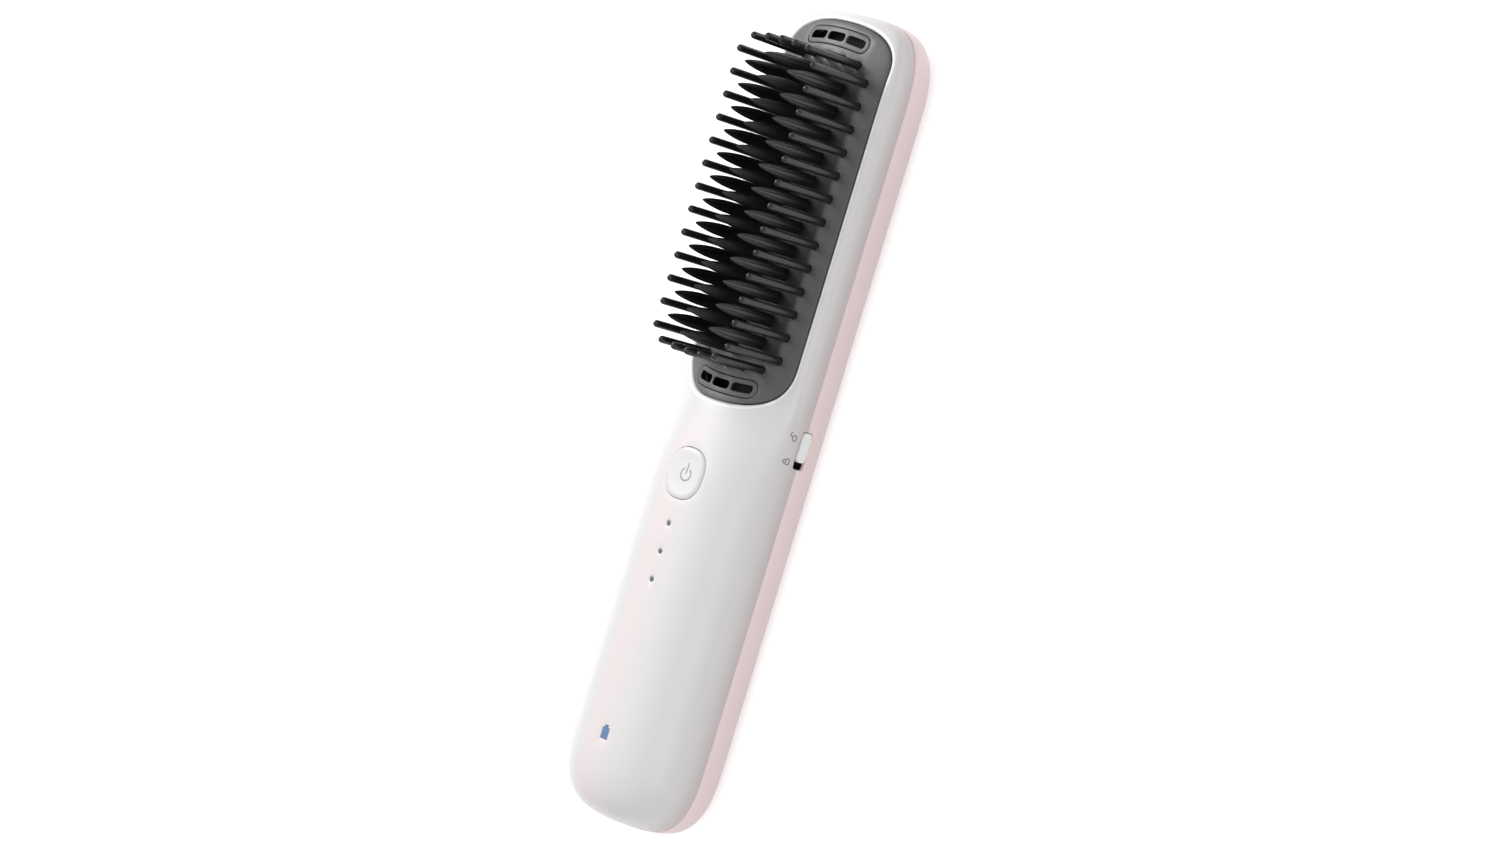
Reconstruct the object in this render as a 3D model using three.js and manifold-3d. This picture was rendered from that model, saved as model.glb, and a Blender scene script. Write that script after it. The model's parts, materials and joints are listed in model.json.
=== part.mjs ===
// A cordless hair straightening brush, lying on its back, in millimetres.
// X runs along the body towards the head, Y to the left and Z up through the teeth.
import * as THREE from 'three';
import { mergeVertices } from 'three/addons/utils/BufferGeometryUtils.js';
import Module from 'manifold-3d';

const wasm = await Module();
wasm.setup();

// Gaps between pieces that touch, and the seam between the two housings
const clearance = 0.3;
const seamGap = 0.3;
const throughMargin = 1; // how far a cutting shape runs past what it cuts

// Body: a flattened tube of one width, lower at the head than at the handle
const bodyLength = 222.2;
const bodyWidth = 47.6;
const bodyWall = 2;
const backDepth = 11.5; // rest face to parting line
const rootDepth = 0.8; // how far posts and ribs run into the wall that carries them
const lipThickness = 1; // the rear cover's lip, which stands inside the front shell
const lipHeight = 1.8;
const lipRoot = 2.5;
const lipRoomMargin = 1; // how far the lip stops short of the slider and the socket
const landDepth = 0.15; // how far the rounded back is planed off to lie flat
const handleRise = 16.3; // parting line to the crest of the handle
const headRise = 11.3; // parting line to the crest of the head
const headShoulder = 8; // the part of the head's rise that its square sides take
const handleSquareness = 2.2; // superellipse powers: 2 is round, 7 nearly a box
const headSquareness = 7;
const backSquareness = 3.4;
const crownPower = 2; // higher keeps the head's crown nearer its middle
const roundingPower = 0.5; // lower rounds the section sooner below the head
const headEndDepth = 27; // length of each rounded end, and its squareness
const headEndSquareness = 3.44;
const buttEndDepth = 24.7;
const buttEndSquareness = 3.2;

// Bezel: the grey cover round the teeth, let into the front of the head
const bezelLength = 104.2;
const bezelWidth = 40.6;
const bezelHeadMargin = 3.3; // head end of the body to the bezel
const bezelHeadDepth = 11;
const bezelHandleDepth = 14;
const bezelSquareness = 2.45;
const bezelSink = 0.35; // how far it lies below the white rim
const bezelWall = 1.8;
const bezelBossRadius = 1.9;
const ledgeWidth = 2;
const ledgeThickness = 1.5;
const ledgeCollar = 1.2;

// Swell from the head to the handle, measured from the bezel's handle end
const crestSwellHead = 34.5;
const crestSwellHandle = 27.7;
const shoulderSwellHead = 6.6;

// Vent grilles: bent capsules with three slots, one at each end of the teeth
const grilleLength = 23.8;
const grilleWidth = 4.8;
const grilleSag = 0.9;
const grilleThickness = 1;
const grilleInset = 4.3; // bezel end to the middle of the grille
const grilleSeat = 0.7; // width of the step that the grille rests on
const slotWidth = 2.3;
const slotMiddleLength = 6.8;
const slotSideLength = 5.9;
const slotRib = 0.9;
const slotCorner = 0.8;

// Teeth: round guard bristles along the edges, heated blades between them
const rowCount = 13;
const rowPitch = 6.28;
const rowInset = 14.6; // head end of the bezel to the first row
const pinColumn = 14.86;
const pinTipRadius = 1.02;
const pinBaseRadius = 1.12;
const pinTipZ = 39.9;
const pinSides = 7;
const endPinCount = 5;
const endPinPitch = 5.5;
const endPinSag = 0.8;
const headEndPinOffset = 4.9;
const handleEndPinOffset = 4.3;
const bladeColumn = 8.57;
const bladeChord = 3.4;
const bladeThickness = 1.3;
const bladePoint = 11; // length over which a blade narrows to its tip
const bladeFullness = 0.65; // lower keeps a blade wide for longer
const sideBladeTipZ = 41.7;
const middleBladeTipZ = 43.3;
const railWidth = 3.2;
const endRailWidth = 2.7;
const railThickness = 2.2;
const toothRoot = 1; // how far a bristle runs into its rail

// Heater: comb plate, element, insulation and clamp, in a frame under the bezel
const combHalfWidth = 11.4;
const combThickness = 2;
const combRibWidth = 1;
const combRootDepth = 0.5; // how far blades, ribs and bosses run into the plate
const elementInset = 16.83; // comb's ends to the heating element
const elementWidth = 9;
const elementThickness = 1.2;
const insulationThickness = 0.4;
const clampThickness = 0.8;
const clampOverhang = 5.5;
const clampScrewInset = 2.6; // clamp's ends to its screws
const clampArm = 2.1; // half the width of its ends
const frameHalfWidth = 18.8;
const frameHeadMargin = 2.3; // bezel's ends to the frame's, under the vents
const frameHandleMargin = 2.4;
const frameCorner = 13.5; // half the width that is straight across its ends
const frameSquareness = 9;
const frameLedge = 1.8; // how far it reaches under the comb
const frameThickness = 3;
const frameScrewHeadInset = 8.8; // from the bezel's ends
const frameScrewHandleInset = 8.7;
const frameScrewColumn = 14.5;

// Screws
const screwRadius = 0.9;
const screwHeadRadius = 1.9;
const screwHeadHeight = 1.1;
const screwBite = 3.4;
const screwNeck = 0.2; // how far the shank runs up into the head
const screwEndGap = 0.6; // shank's end to the bottom of its hole
const boardScrewGap = 1.2; // the same for the main board's screws
const pilotFloor = 0.6; // what a blind hole leaves of the wall behind it
const fuseRadius = 1.2;
const fuseLength = 10;
const fuseSpan = 24; // over its wire ends
const fuseWireRadius = 0.4;
const thermistorRadius = 0.8;
const thermistorLength = 3;
const thermistorWireRadius = 0.35;
const thermistorWireLength = 3;
const thermistorGap = 1.2; // clamp's end to the sensor

// Power button on the crest of the handle
const buttonOffset = 20.95; // bezel's handle end to the button
const buttonWidth = 13.8;
const buttonSquareness = 2.5;
const buttonProud = 0.35;
const buttonWall = 1.8;
const buttonSkirt = 1.2;
const buttonFlange = 0.8;
const buttonFlangeThickness = 0.6;
const buttonTravel = 0.5;

// Indicator lights
const lightOffset = 34.65; // bezel's handle end to the first light
const lightPitch = 7.67;
const lightCount = 3;
const lightHoleRadius = 0.8;
const batteryMarkInset = 22.7; // butt end to the battery mark
const batteryMarkLength = 3.6;
const batteryMarkWidth = 2.7;
const batteryNubLength = 0.7;
const guideThickness = 0.8;
const guideMargin = 1.3; // how far the light guides' strips reach past their pegs
const guideSink = 0.1; // pegs below the shell's face
const ledHeight = 0.5;

// Lock slider on the right side, on the parting line
const sliderOffset = 1.2; // bezel's handle end to the head end of the slot
const sliderLength = 8;
const sliderHeight = 3.1;
const sliderProud = 0.7;
const sliderSquareness = 6;
const sliderTravel = 1.7;
const sliderFlange = 1;
const leverWidth = 1.6;
const leverHeight = 1.4;
const leverLength = 1.6; // how far it stands out of the switch
const leverBite = 1; // how far it is let into the switch, and into the slider's fork
const forkThickness = 1.2;
const forkHeight = 2.4;
const switchBodyLength = 8.6;
const switchBodyDepth = 3.2;
const switchBodyHeight = 3.6;
const switchBoardThickness = 1.2;
const switchBoardLength = 14;
const switchBoardHeight = 8;
const switchPostWidth = 3.2;
const switchPostDepth = 4.4;
const switchPostRise = 1; // post's top above the slider's middle

// Main board, over the cells
const boardWidth = 22;
const boardThickness = 1.6;
const boardHeadMargin = 12.5; // bezel's handle end to the board
const boardButtMargin = 13; // butt end to the board
const boardPostInset = 3; // board's ends to its posts
const boardPostColumn = 9;
const boardPostRadius = 2.2;
const switchStack = 2.95; // board to the inside of the shell at the button
const tactWidth = 6;
const tactHeight = 1.6;
const tactFloor = 0.4; // thickness of its base under the plunger
const tactSlack = 0.1; // plunger to the base at the end of its travel
const plungerRadius = 1.6;
const plungerHeight = 0.4;
const ledHalfLength = 0.8;
const ledHalfWidth = 0.5;
const chipHalfWidth = 3.5;
const chipHeight = 0.9;
const transistorHalfLength = 3;
const transistorHeight = 1.6;
const connectorInset = 1.5; // board's head end to the lead connector
const connectorLength = 5;
const connectorHalfWidth = 5;
const connectorHeight = 3.4;

// Cells, side by side in the handle
const cellRadius = 9.1;
const cellLength = 65;
const cellButtMargin = 18.5; // butt end to the cells
const cellFloorOffset = 1.5; // where the back is lowest under a cell, from its middle
const cradleWall = 1.6;
const cradleRise = 0.5;
const cradleTabMargin = 0.5; // room round the tabs in its end walls
const tabThickness = 0.3;
const tabHalfWidth = 3;
const cradleEarLength = 5.4;
const cradleEarColumn = 11;
const cradleEarHeight = 6;
const cradleEarHalfWidth = 3;
const cradleEarRoot = 0.5;
const cradlePostRadius = 2.4;
const cradleScrewLength = 4.6; // ears' tops to the screws' ends

// Charging socket in the butt end
const socketWidth = 8.94;
const socketHeight = 3.26;
const socketDepth = 7.35;
const socketWall = 0.3;
const socketInset = 2.2; // butt end to the socket's mouth
const chargeBoardWidth = 16;
const chargeBoardLength = 10.4;
const chargeBoardThickness = 1.2;
const chargeBoardInset = 0.8; // socket's mouth to the board's edge
const chargeRibWidth = 1.4;
const chargeRibInset = 3; // board's sides to the middle of each rib
const chargeRibHandleGap = 2;
const chargeRibHeadGap = 1.5;
const socketRoomLength = 9; // length of the butt end kept free of the lip
const socketRoomDepth = 3; // how far the socket's hole runs past its back
const tongueInset = 0.9; // socket's mouth to its tongue
const tongueHalfWidth = 3.35;
const tongueHalfHeight = 0.35;
const tongueBase = 2;

// Wires
const leadRadius = 0.6;

// Places that follow from the sizes above
const halfLength = bodyLength / 2;
const halfWidth = bodyWidth / 2;
const partingZ = backDepth;
const floorZ = bodyWall - landDepth;
const farZ = 60;
const rootInset = bodyWall - rootDepth;
const lipInset = bodyWall + clearance;
const bezelHeadX = halfLength - bezelHeadMargin;
const bezelHandleX = bezelHeadX - bezelLength;
const firstRowX = bezelHeadX - rowInset;
const lastRowX = firstRowX - (rowCount - 1) * rowPitch;
const buttonX = bezelHandleX - buttonOffset;
const batteryMarkX = - halfLength + batteryMarkInset;
const swellHandleX = bezelHandleX - crestSwellHandle;
const bezelUnder = bezelSink + bezelWall;
const ledgeUnder = bezelUnder + clearance + ledgeThickness;

// Colours and finishes
const finish = {
	white: material( 0xe9e8e8, 0.32, 0 ),
	pink: material( 0xe8d3d4, 0.35, 0 ),
	grey: material( 0x6c6c6e, 0.5, 0 ),
	black: material( 0x1b1b1d, 0.35, 0 ),
	blackMetal: material( 0x141416, 0.25, 0.4 ),
	clear: material( 0x6e8db8, 0.2, 0 ),
	board: material( 0x1f5a3a, 0.5, 0 ),
	steel: material( 0xb9bcc0, 0.3, 1 ),
	chip: material( 0x232326, 0.5, 0 ),
	ceramic: material( 0xe4dfd2, 0.6, 0 ),
	mica: material( 0xc9a86a, 0.6, 0 ),
	cell: material( 0x2f6fa8, 0.45, 0 ),
	red: material( 0xb02a2a, 0.5, 0 ),
	frame: material( 0x3a3a3c, 0.6, 0 )
};

function material( color, roughness, metalness ) {

	return new THREE.MeshStandardMaterial( { color, roughness, metalness } );

}

// Solids from three.js geometry

function solidOf( geometry ) {

	const bare = geometry.clone();
	bare.deleteAttribute( 'normal' );
	bare.deleteAttribute( 'uv' );
	const merged = mergeVertices( bare, 1e-4 );
	return new wasm.Manifold( new wasm.Mesh( {
		numProp: 3,
		vertProperties: merged.getAttribute( 'position' ).array,
		triVerts: Uint32Array.from( merged.index.array )
	} ) );

}

function geometryOf( solid ) {

	const mesh = solid.getMesh();
	const geometry = new THREE.BufferGeometry();
	geometry.setAttribute( 'position', new THREE.BufferAttribute( mesh.vertProperties, 3 ) );
	geometry.setIndex( new THREE.BufferAttribute( mesh.triVerts, 1 ) );
	geometry.computeVertexNormals();
	return geometry;

}

function joined( solids ) {

	return solids.reduce( ( whole, solid ) => whole.add( solid ) );

}

function box( x0, x1, y0, y1, z0, z1 ) {

	const geometry = new THREE.BoxGeometry( x1 - x0, y1 - y0, z1 - z0 );
	geometry.translate( ( x0 + x1 ) / 2, ( y0 + y1 ) / 2, ( z0 + z1 ) / 2 );
	return solidOf( geometry );

}

// A box with its middle on the XZ plane
function middleBox( x0, x1, halfY, z0, z1 ) {

	return box( x0, x1, - halfY, halfY, z0, z1 );

}

// A round post standing from z0 to z1
function post( x, y, radius, z0, z1, sides = 8 ) {

	const geometry = new THREE.CylinderGeometry( radius, radius, z1 - z0, sides );
	geometry.rotateX( Math.PI / 2 );
	geometry.translate( x, y, ( z0 + z1 ) / 2 );
	return solidOf( geometry );

}

function posts( places, radius, z0, z1, sides ) {

	return joined( places.map( ( [ x, y ] ) => post( x, y, radius, z0, z1, sides ) ) );

}

// Holes for the screws' shanks
function screwHoles( places, z0, z1 ) {

	return posts( places, screwRadius + clearance, z0, z1 );

}

// A round bar lying along X from x0 to x1
function bar( x0, x1, y, z, radius, sides = 20 ) {

	const geometry = new THREE.CylinderGeometry( radius, radius, x1 - x0, sides );
	geometry.rotateZ( Math.PI / 2 );
	geometry.translate( ( x0 + x1 ) / 2, y, z );
	return solidOf( geometry );

}

function extruded( points, depth ) {

	return new THREE.ExtrudeGeometry( new THREE.Shape( points ), { depth, bevelEnabled: false } );

}

function prism( points, z0 = partingZ, z1 = farZ ) {

	const geometry = extruded( points, z1 - z0 );
	geometry.translate( 0, 0, z0 );
	return solidOf( geometry );

}

// An outline drawn in Y and Z, pushed along X
function prismAlongX( points, x0, x1 ) {

	const geometry = extruded( points, x1 - x0 );
	geometry.rotateX( Math.PI / 2 );
	geometry.rotateZ( Math.PI / 2 );
	geometry.translate( x0, 0, 0 );
	return solidOf( geometry );

}

// Skins a row of rings with the same number of points, and closes it at both ends
function loft( rings, startPoint, endPoint ) {

	const count = rings[ 0 ].length;
	const points = [ ...rings.flat(), startPoint, endPoint ];
	const start = points.length - 2;
	const end = points.length - 1;
	const faces = [];
	for ( let i = 0; i < rings.length - 1; i ++ ) {

		for ( let j = 0; j < count; j ++ ) {

			const a = i * count + j;
			const b = i * count + ( j + 1 ) % count;
			faces.push( a, b, a + count, b, b + count, a + count );

		}

	}

	const last = ( rings.length - 1 ) * count;
	for ( let j = 0; j < count; j ++ ) {

		const next = ( j + 1 ) % count;
		faces.push( start, next, j, end, last + j, last + next );

	}

	return new wasm.Manifold( new wasm.Mesh( {
		numProp: 3,
		vertProperties: Float32Array.from( points.flat() ),
		triVerts: Uint32Array.from( faces )
	} ) );

}

function lead( points, steps ) {

	const curve = new THREE.CatmullRomCurve3( points.map( ( p ) => new THREE.Vector3( ...p ) ) );
	const section = new THREE.Shape( circle( leadRadius, 5 ) );
	return solidOf( new THREE.ExtrudeGeometry( section, { steps, extrudePath: curve } ) );

}

// Outlines

function circle( radius, sides ) {

	return superOval( radius, radius, 2, sides );

}

function signedPower( value, power ) {

	return Math.sign( value ) * Math.pow( Math.abs( value ), power );

}

function superOval( halfX, halfY, squareness, sides = 32, x = 0, y = 0 ) {

	return Array.from( { length: sides }, ( _, i ) => {

		const angle = i / sides * Math.PI * 2;
		return new THREE.Vector2(
			x + halfX * signedPower( Math.cos( angle ), 2 / squareness ),
			y + halfY * signedPower( Math.sin( angle ), 2 / squareness )
		);

	} );

}

// The bezel's plan: straight sides, and a blunt arch of its own depth at each end
function bezelOutline( offset ) {

	const archX = ( x ) => ( x > 0 ? bezelHeadX - bezelHeadDepth : bezelHandleX + bezelHandleDepth );
	const depth = ( x ) => ( x > 0 ? bezelHeadDepth : bezelHandleDepth ) + offset;
	const oval = superOval( 1, bezelWidth / 2 + offset, bezelSquareness, 24 );
	const quarter = Math.floor( oval.length / 4 );
	return oval.flatMap( ( p, i ) => {

		const at = ( side ) => new THREE.Vector2( archX( side ) + p.x * depth( side ), p.y );
		if ( i === quarter ) return [ at( 1 ), at( - 1 ) ];
		if ( i === 3 * quarter ) return [ at( - 1 ), at( 1 ) ];
		return [ at( p.x ) ];

	} );

}

// Body surface

function smooth( value ) {

	return THREE.MathUtils.smoothstep( value, 0, 1 );

}

// How far a section is drawn in near the rounded ends: 1 along the body, 0 at the tips
function endScale( x, inset ) {

	const depth = ( x > 0 ? headEndDepth : buttEndDepth ) - inset;
	const squareness = x > 0 ? headEndSquareness : buttEndSquareness;
	const reach = ( halfLength - inset - Math.abs( x ) ) / depth;
	if ( reach >= 1 ) return 1;
	if ( reach <= 0 ) return 0;
	return arch( 1 - reach, squareness );

}

function sectionAt( x, inset ) {

	const crestShare = 1 - smooth( ( x - swellHandleX ) / ( crestSwellHead + crestSwellHandle ) );
	const roundShare = 1 - smooth( ( x - swellHandleX ) / ( shoulderSwellHead + crestSwellHandle ) );
	const roundness = [ 1 / headSquareness, 1 / handleSquareness ];
	const crest = THREE.MathUtils.lerp( headRise, handleRise, crestShare );
	const shoulder = THREE.MathUtils.lerp( headShoulder, handleRise, roundShare );
	return {
		scale: endScale( x, inset ),
		halfWidth: halfWidth - inset,
		shoulder: shoulder - inset,
		crown: crest - shoulder,
		squareness: 1 / THREE.MathUtils.lerp( ...roundness, Math.pow( roundShare, roundingPower ) ),
		back: backDepth + landDepth - inset
	};

}

// Height of a unit superellipse at a share of its half width
function arch( share, squareness ) {

	return Math.pow( Math.max( 0, 1 - Math.pow( share, squareness ) ), 1 / squareness );

}

function frontRise( section, share ) {

	const crown = section.crown * Math.pow( 1 - share * share, crownPower );
	return section.shoulder * arch( share, section.squareness ) + crown;

}

function backFall( section, share ) {

	return section.back * arch( share, backSquareness );

}

// Height of the front surface over a point, at a depth below the outside
function frontZ( x, y, inset = 0 ) {

	const section = sectionAt( x, inset );
	const share = Math.min( 1, Math.abs( y ) / ( section.halfWidth * section.scale ) );
	return partingZ + section.scale * frontRise( section, share );

}

function backZ( x, y, inset = 0 ) {

	const section = sectionAt( x, inset );
	const share = Math.min( 1, Math.abs( y ) / ( section.halfWidth * section.scale ) );
	return partingZ - section.scale * backFall( section, share );

}

function bodyRing( x, inset ) {

	const section = sectionAt( x, inset );
	const half = 12;
	const spread = 0.62; // under 1 crowds the points towards the sides
	return Array.from( { length: half * 2 }, ( _, j ) => {

		const angle = j / half * Math.PI;
		const share = signedPower( Math.cos( angle ), spread );
		const width = Math.abs( share );
		const rise = j <= half ? frontRise( section, width ) : - backFall( section, width );
		const edge = j === 0 || j === half;
		return [
			x,
			section.scale * section.halfWidth * share,
			partingZ + ( edge ? 0 : section.scale * rise )
		];

	} );

}

// Stations crowd together in the rounded ends and in the swell below the head
function bodyStations( inset ) {

	const endSteps = 5;
	const swellSteps = 6;
	const stations = [];
	const tip = halfLength - inset;
	const arcShare = ( i ) => Math.pow( 1 - Math.cos( i / endSteps * Math.PI / 2 ), 1.5 );
	for ( let i = 1; i <= endSteps; i ++ ) stations.push( - tip + ( buttEndDepth - inset ) * arcShare( i ) );
	const swellLength = crestSwellHead + crestSwellHandle;
	for ( let i = 0; i <= swellSteps; i ++ ) stations.push( swellHandleX + swellLength * i / swellSteps );
	for ( let i = endSteps; i >= 1; i -- ) stations.push( tip - ( headEndDepth - inset ) * arcShare( i ) );
	return stations;

}

const lofts = new Map();

function bodyLoft( inset ) {

	if ( ! lofts.has( inset ) ) {

		const rings = bodyStations( inset ).map( ( x ) => bodyRing( x, inset ) );
		const tip = halfLength - inset;
		lofts.set( inset, loft( rings, [ - tip, 0, partingZ ], [ tip, 0, partingZ ] ) );

	}

	return lofts.get( inset );

}

function bodyLayer( outerInset, innerInset ) {

	return bodyLoft( outerInset ).subtract( bodyLoft( innerInset ) );

}

// The body let down by a depth, for the covers that lie in its front
function sunkBody( depth ) {

	return bodyLoft( 0 ).translate( [ 0, 0, - depth ] );

}

function sunkLayer( top, bottom ) {

	return sunkBody( top ).subtract( sunkBody( bottom ) );

}

function slab( z0, z1 ) {

	return middleBox( - halfLength, halfLength, halfWidth, z0, z1 );

}

// Lowest height over some points, at a depth below the front surface
function lowestFront( points, depth ) {

	return Math.min( ...points.map( ( [ x, y ] ) => frontZ( x, y ) - depth ) );

}

// Tooth places

const rows = Array.from( { length: rowCount }, ( _, i ) => firstRowX - i * rowPitch );
const halfRows = rows.slice( 0, - 1 ).map( ( x ) => x - rowPitch / 2 );

function endPins( x, outward ) {

	const middle = ( endPinCount - 1 ) / 2;
	return Array.from( { length: endPinCount }, ( _, i ) => {

		const share = ( i - middle ) / middle;
		return [ x - outward * endPinSag * share * share, ( i - middle ) * endPinPitch ];

	} );

}

const headPinsX = firstRowX + headEndPinOffset;
const handlePinsX = lastRowX - handleEndPinOffset;
const pins = {
	left: rows.map( ( x ) => [ x, pinColumn ] ),
	right: rows.map( ( x ) => [ x, - pinColumn ] ),
	head: endPins( headPinsX, 1 ),
	handle: endPins( handlePinsX, - 1 )
};
const blades = [
	...rows.map( ( x ) => [ x, 0, middleBladeTipZ ] ),
	...halfRows.map( ( x ) => [ x, bladeColumn, sideBladeTipZ ] ),
	...halfRows.map( ( x ) => [ x, - bladeColumn, sideBladeTipZ ] )
];

// Heights in the head, each from the surface above it
const railHeadX = firstRowX + railWidth / 2;
const railHandleX = lastRowX - railWidth / 2;
const endRailY = ( endPinCount - 1 ) / 2 * endPinPitch + endRailWidth / 2;
const railTopZ = lowestFront( [
	[ railHeadX, pinColumn + railWidth / 2 ],
	[ railHandleX, pinColumn + railWidth / 2 ],
	[ headPinsX + endRailWidth / 2, endRailY ]
], bezelUnder + clearance );
const combHeadX = headPinsX - endPinSag - endRailWidth / 2 - clearance;
const combHandleX = handlePinsX + endPinSag + endRailWidth / 2 + clearance;
const combTopZ = lowestFront( [
	[ combHeadX, combHalfWidth ],
	[ combHandleX, combHalfWidth ]
], bezelUnder + clearance );
const combUnderZ = combTopZ - combThickness;
const frameHeadX = bezelHeadX - frameHeadMargin;
const frameHandleX = bezelHandleX + frameHandleMargin;
const frameTopZ = lowestFront( [
	[ frameHeadX, frameCorner ],
	[ ( frameHeadX + frameHandleX ) / 2, frameHalfWidth ]
], ledgeUnder + clearance );
const frameUnderZ = frameTopZ - frameThickness;
const elementTopZ = combUnderZ - clearance;
const insulationTopZ = elementTopZ - elementThickness - clearance;
const clampTopZ = insulationTopZ - insulationThickness - clearance;
const clampUnderZ = clampTopZ - clampThickness;
const combMiddleX = ( combHeadX + combHandleX ) / 2;
const elementLength = combHeadX - combHandleX - 2 * elementInset;
const clampHalf = elementLength / 2 + clampOverhang;
const frameScrews = [ bezelHeadX - frameScrewHeadInset, bezelHandleX + frameScrewHandleInset ].flatMap(
	( x ) => [ 1, - 1 ].map( ( side ) => [ x, side * frameScrewColumn ] )
);
const clampHeadX = combMiddleX + clampHalf;
const clampHandleX = combMiddleX - clampHalf;
const clampScrews = [ [ clampHeadX - clampScrewInset, 0 ], [ clampHandleX + clampScrewInset, 0 ] ];

// Places in the handle
const boardTopZ = frontZ( buttonX, 0, bodyWall ) - switchStack;
const boardUnderZ = boardTopZ - boardThickness;
const boardHeadX = bezelHandleX - boardHeadMargin;
const boardButtX = - halfLength + boardButtMargin;
const firstLightX = bezelHandleX - lightOffset;
const boardPosts = [ boardHeadX - boardPostInset, boardButtX + boardPostInset ].flatMap(
	( x ) => [ 1, - 1 ].map( ( side ) => [ x, side * boardPostColumn ] )
);
const lights = Array.from( { length: lightCount }, ( _, i ) => firstLightX - i * lightPitch );
const guideUnderZ = boardTopZ + 2 * clearance + ledHeight;
const controlChipX = ( lights.at( - 1 ) + batteryMarkX ) / 2;
const cellY = cellRadius + clearance;
const cellZ = backZ( 0, cellY + cellFloorOffset, bodyWall ) + clearance + cellRadius;
const cellButtX = - halfLength + cellButtMargin;
const cellHeadX = cellButtX + cellLength;
const cradleGap = 2 * clearance + tabThickness;
const cradleButtX = cellButtX - cradleGap - cradleWall;
const cradleHeadX = cellHeadX + cradleGap + cradleWall;
const cradleEarTopZ = floorZ + cradleEarHeight;
const cradleEarX = cradleHeadX + cradleEarLength / 2;
const cradleScrews = [ 1, - 1 ].map( ( side ) => [ cradleEarX, side * cradleEarColumn ] );
const socketMouthX = - halfLength + socketInset;
const socketBackX = socketMouthX + socketDepth;
const socketZ = partingZ;
const chargeBoardTopZ = socketZ - socketHeight / 2 - clearance;
const chargeBoardX = socketMouthX + chargeBoardInset;
const connectorHeadX = boardHeadX - connectorInset;
const connectorZ = boardUnderZ - clearance - connectorHeight / 2;

// Places of the lock switch
const slotHeadX = bezelHandleX - sliderOffset;
const slotLength = sliderLength + sliderTravel + 2 * clearance;
const slotZ = partingZ;
const sliderHeadX = slotHeadX - clearance;
const sliderMiddleX = sliderHeadX - sliderLength / 2;
const sliderInnerY = halfWidth - bodyWall - 2 * clearance;
const leverY = sliderInnerY - sliderFlange - clearance;
const switchFaceY = leverY - leverLength;
const switchBoardY = switchFaceY - switchBodyDepth - clearance;
const switchMiddleX = sliderMiddleX - sliderTravel / 2;

// Housing

function sliderSlot() {

	const halfZ = sliderHeight / 2 + clearance;
	return box( slotHeadX - slotLength, slotHeadX,
		- halfWidth - throughMargin, - sliderInnerY + throughMargin, slotZ - halfZ, slotZ + halfZ );

}

function socketOval( halfY, halfZ, sides = 6 ) {

	const flat = halfY - halfZ;
	const points = [];
	for ( const side of [ 1, - 1 ] ) {

		for ( let i = 0; i <= sides; i ++ ) {

			const angle = ( i / sides - 0.5 ) * Math.PI;
			const y = flat + Math.cos( angle ) * halfZ;
			points.push( new THREE.Vector2( side * y, side * Math.sin( angle ) * halfZ + socketZ ) );

		}

	}

	return points;

}

function socketHole() {

	const outline = socketOval( socketWidth / 2 + clearance, socketHeight / 2 + clearance );
	return prismAlongX( outline, - halfLength - throughMargin, socketBackX + socketRoomDepth );

}

function batteryOutline( offset ) {

	const halfY = batteryMarkWidth / 2 + offset;
	const nubY = batteryMarkWidth / 4 + offset;
	const back = batteryMarkX - batteryMarkLength / 2 - offset;
	const front = batteryMarkX + batteryMarkLength / 2 + offset;
	const step = front - batteryNubLength;
	const right = [ [ back, - halfY ], [ step, - halfY ], [ step, - nubY ], [ front, - nubY ] ];
	const left = right.toReversed().map( ( [ x, y ] ) => [ x, - y ] );
	return [ ...right, ...left ].map( ( p ) => new THREE.Vector2( ...p ) );

}

function buttonOutline( offset ) {

	return superOval( buttonWidth / 2 + offset, buttonWidth / 2 + offset, buttonSquareness, 20, buttonX );

}

function makeFrontShell() {

	const ledge = prism( bezelOutline( ledgeCollar ) )
		.subtract( prism( bezelOutline( - ledgeWidth ) ) )
		.intersect( sunkLayer( bezelUnder + clearance, ledgeUnder ) );
	const stands = posts( boardPosts, boardPostRadius, boardTopZ + clearance, farZ )
		.intersect( bodyLoft( rootInset ) );
	const pilots = screwHoles( boardPosts, boardTopZ - throughMargin, boardTopZ + screwBite );
	const lightHoles = posts( lights.map( ( x ) => [ x, 0 ] ), lightHoleRadius, boardTopZ, farZ );
	return bodyLayer( 0, bodyWall )
		.intersect( slab( partingZ + seamGap / 2, farZ ) )
		.add( ledge )
		.subtract( prism( bezelOutline( clearance ) ).subtract( sunkBody( bezelUnder + clearance ) ) )
		.subtract( prism( bezelOutline( - ledgeWidth ), partingZ + throughMargin ) )
		.add( stands )
		.subtract( pilots )
		.subtract( prism( buttonOutline( clearance ), boardTopZ ) )
		.subtract( lightHoles )
		.subtract( prism( batteryOutline( 0 ), boardTopZ ) )
		.subtract( sliderSlot() )
		.subtract( socketHole() );

}

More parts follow.
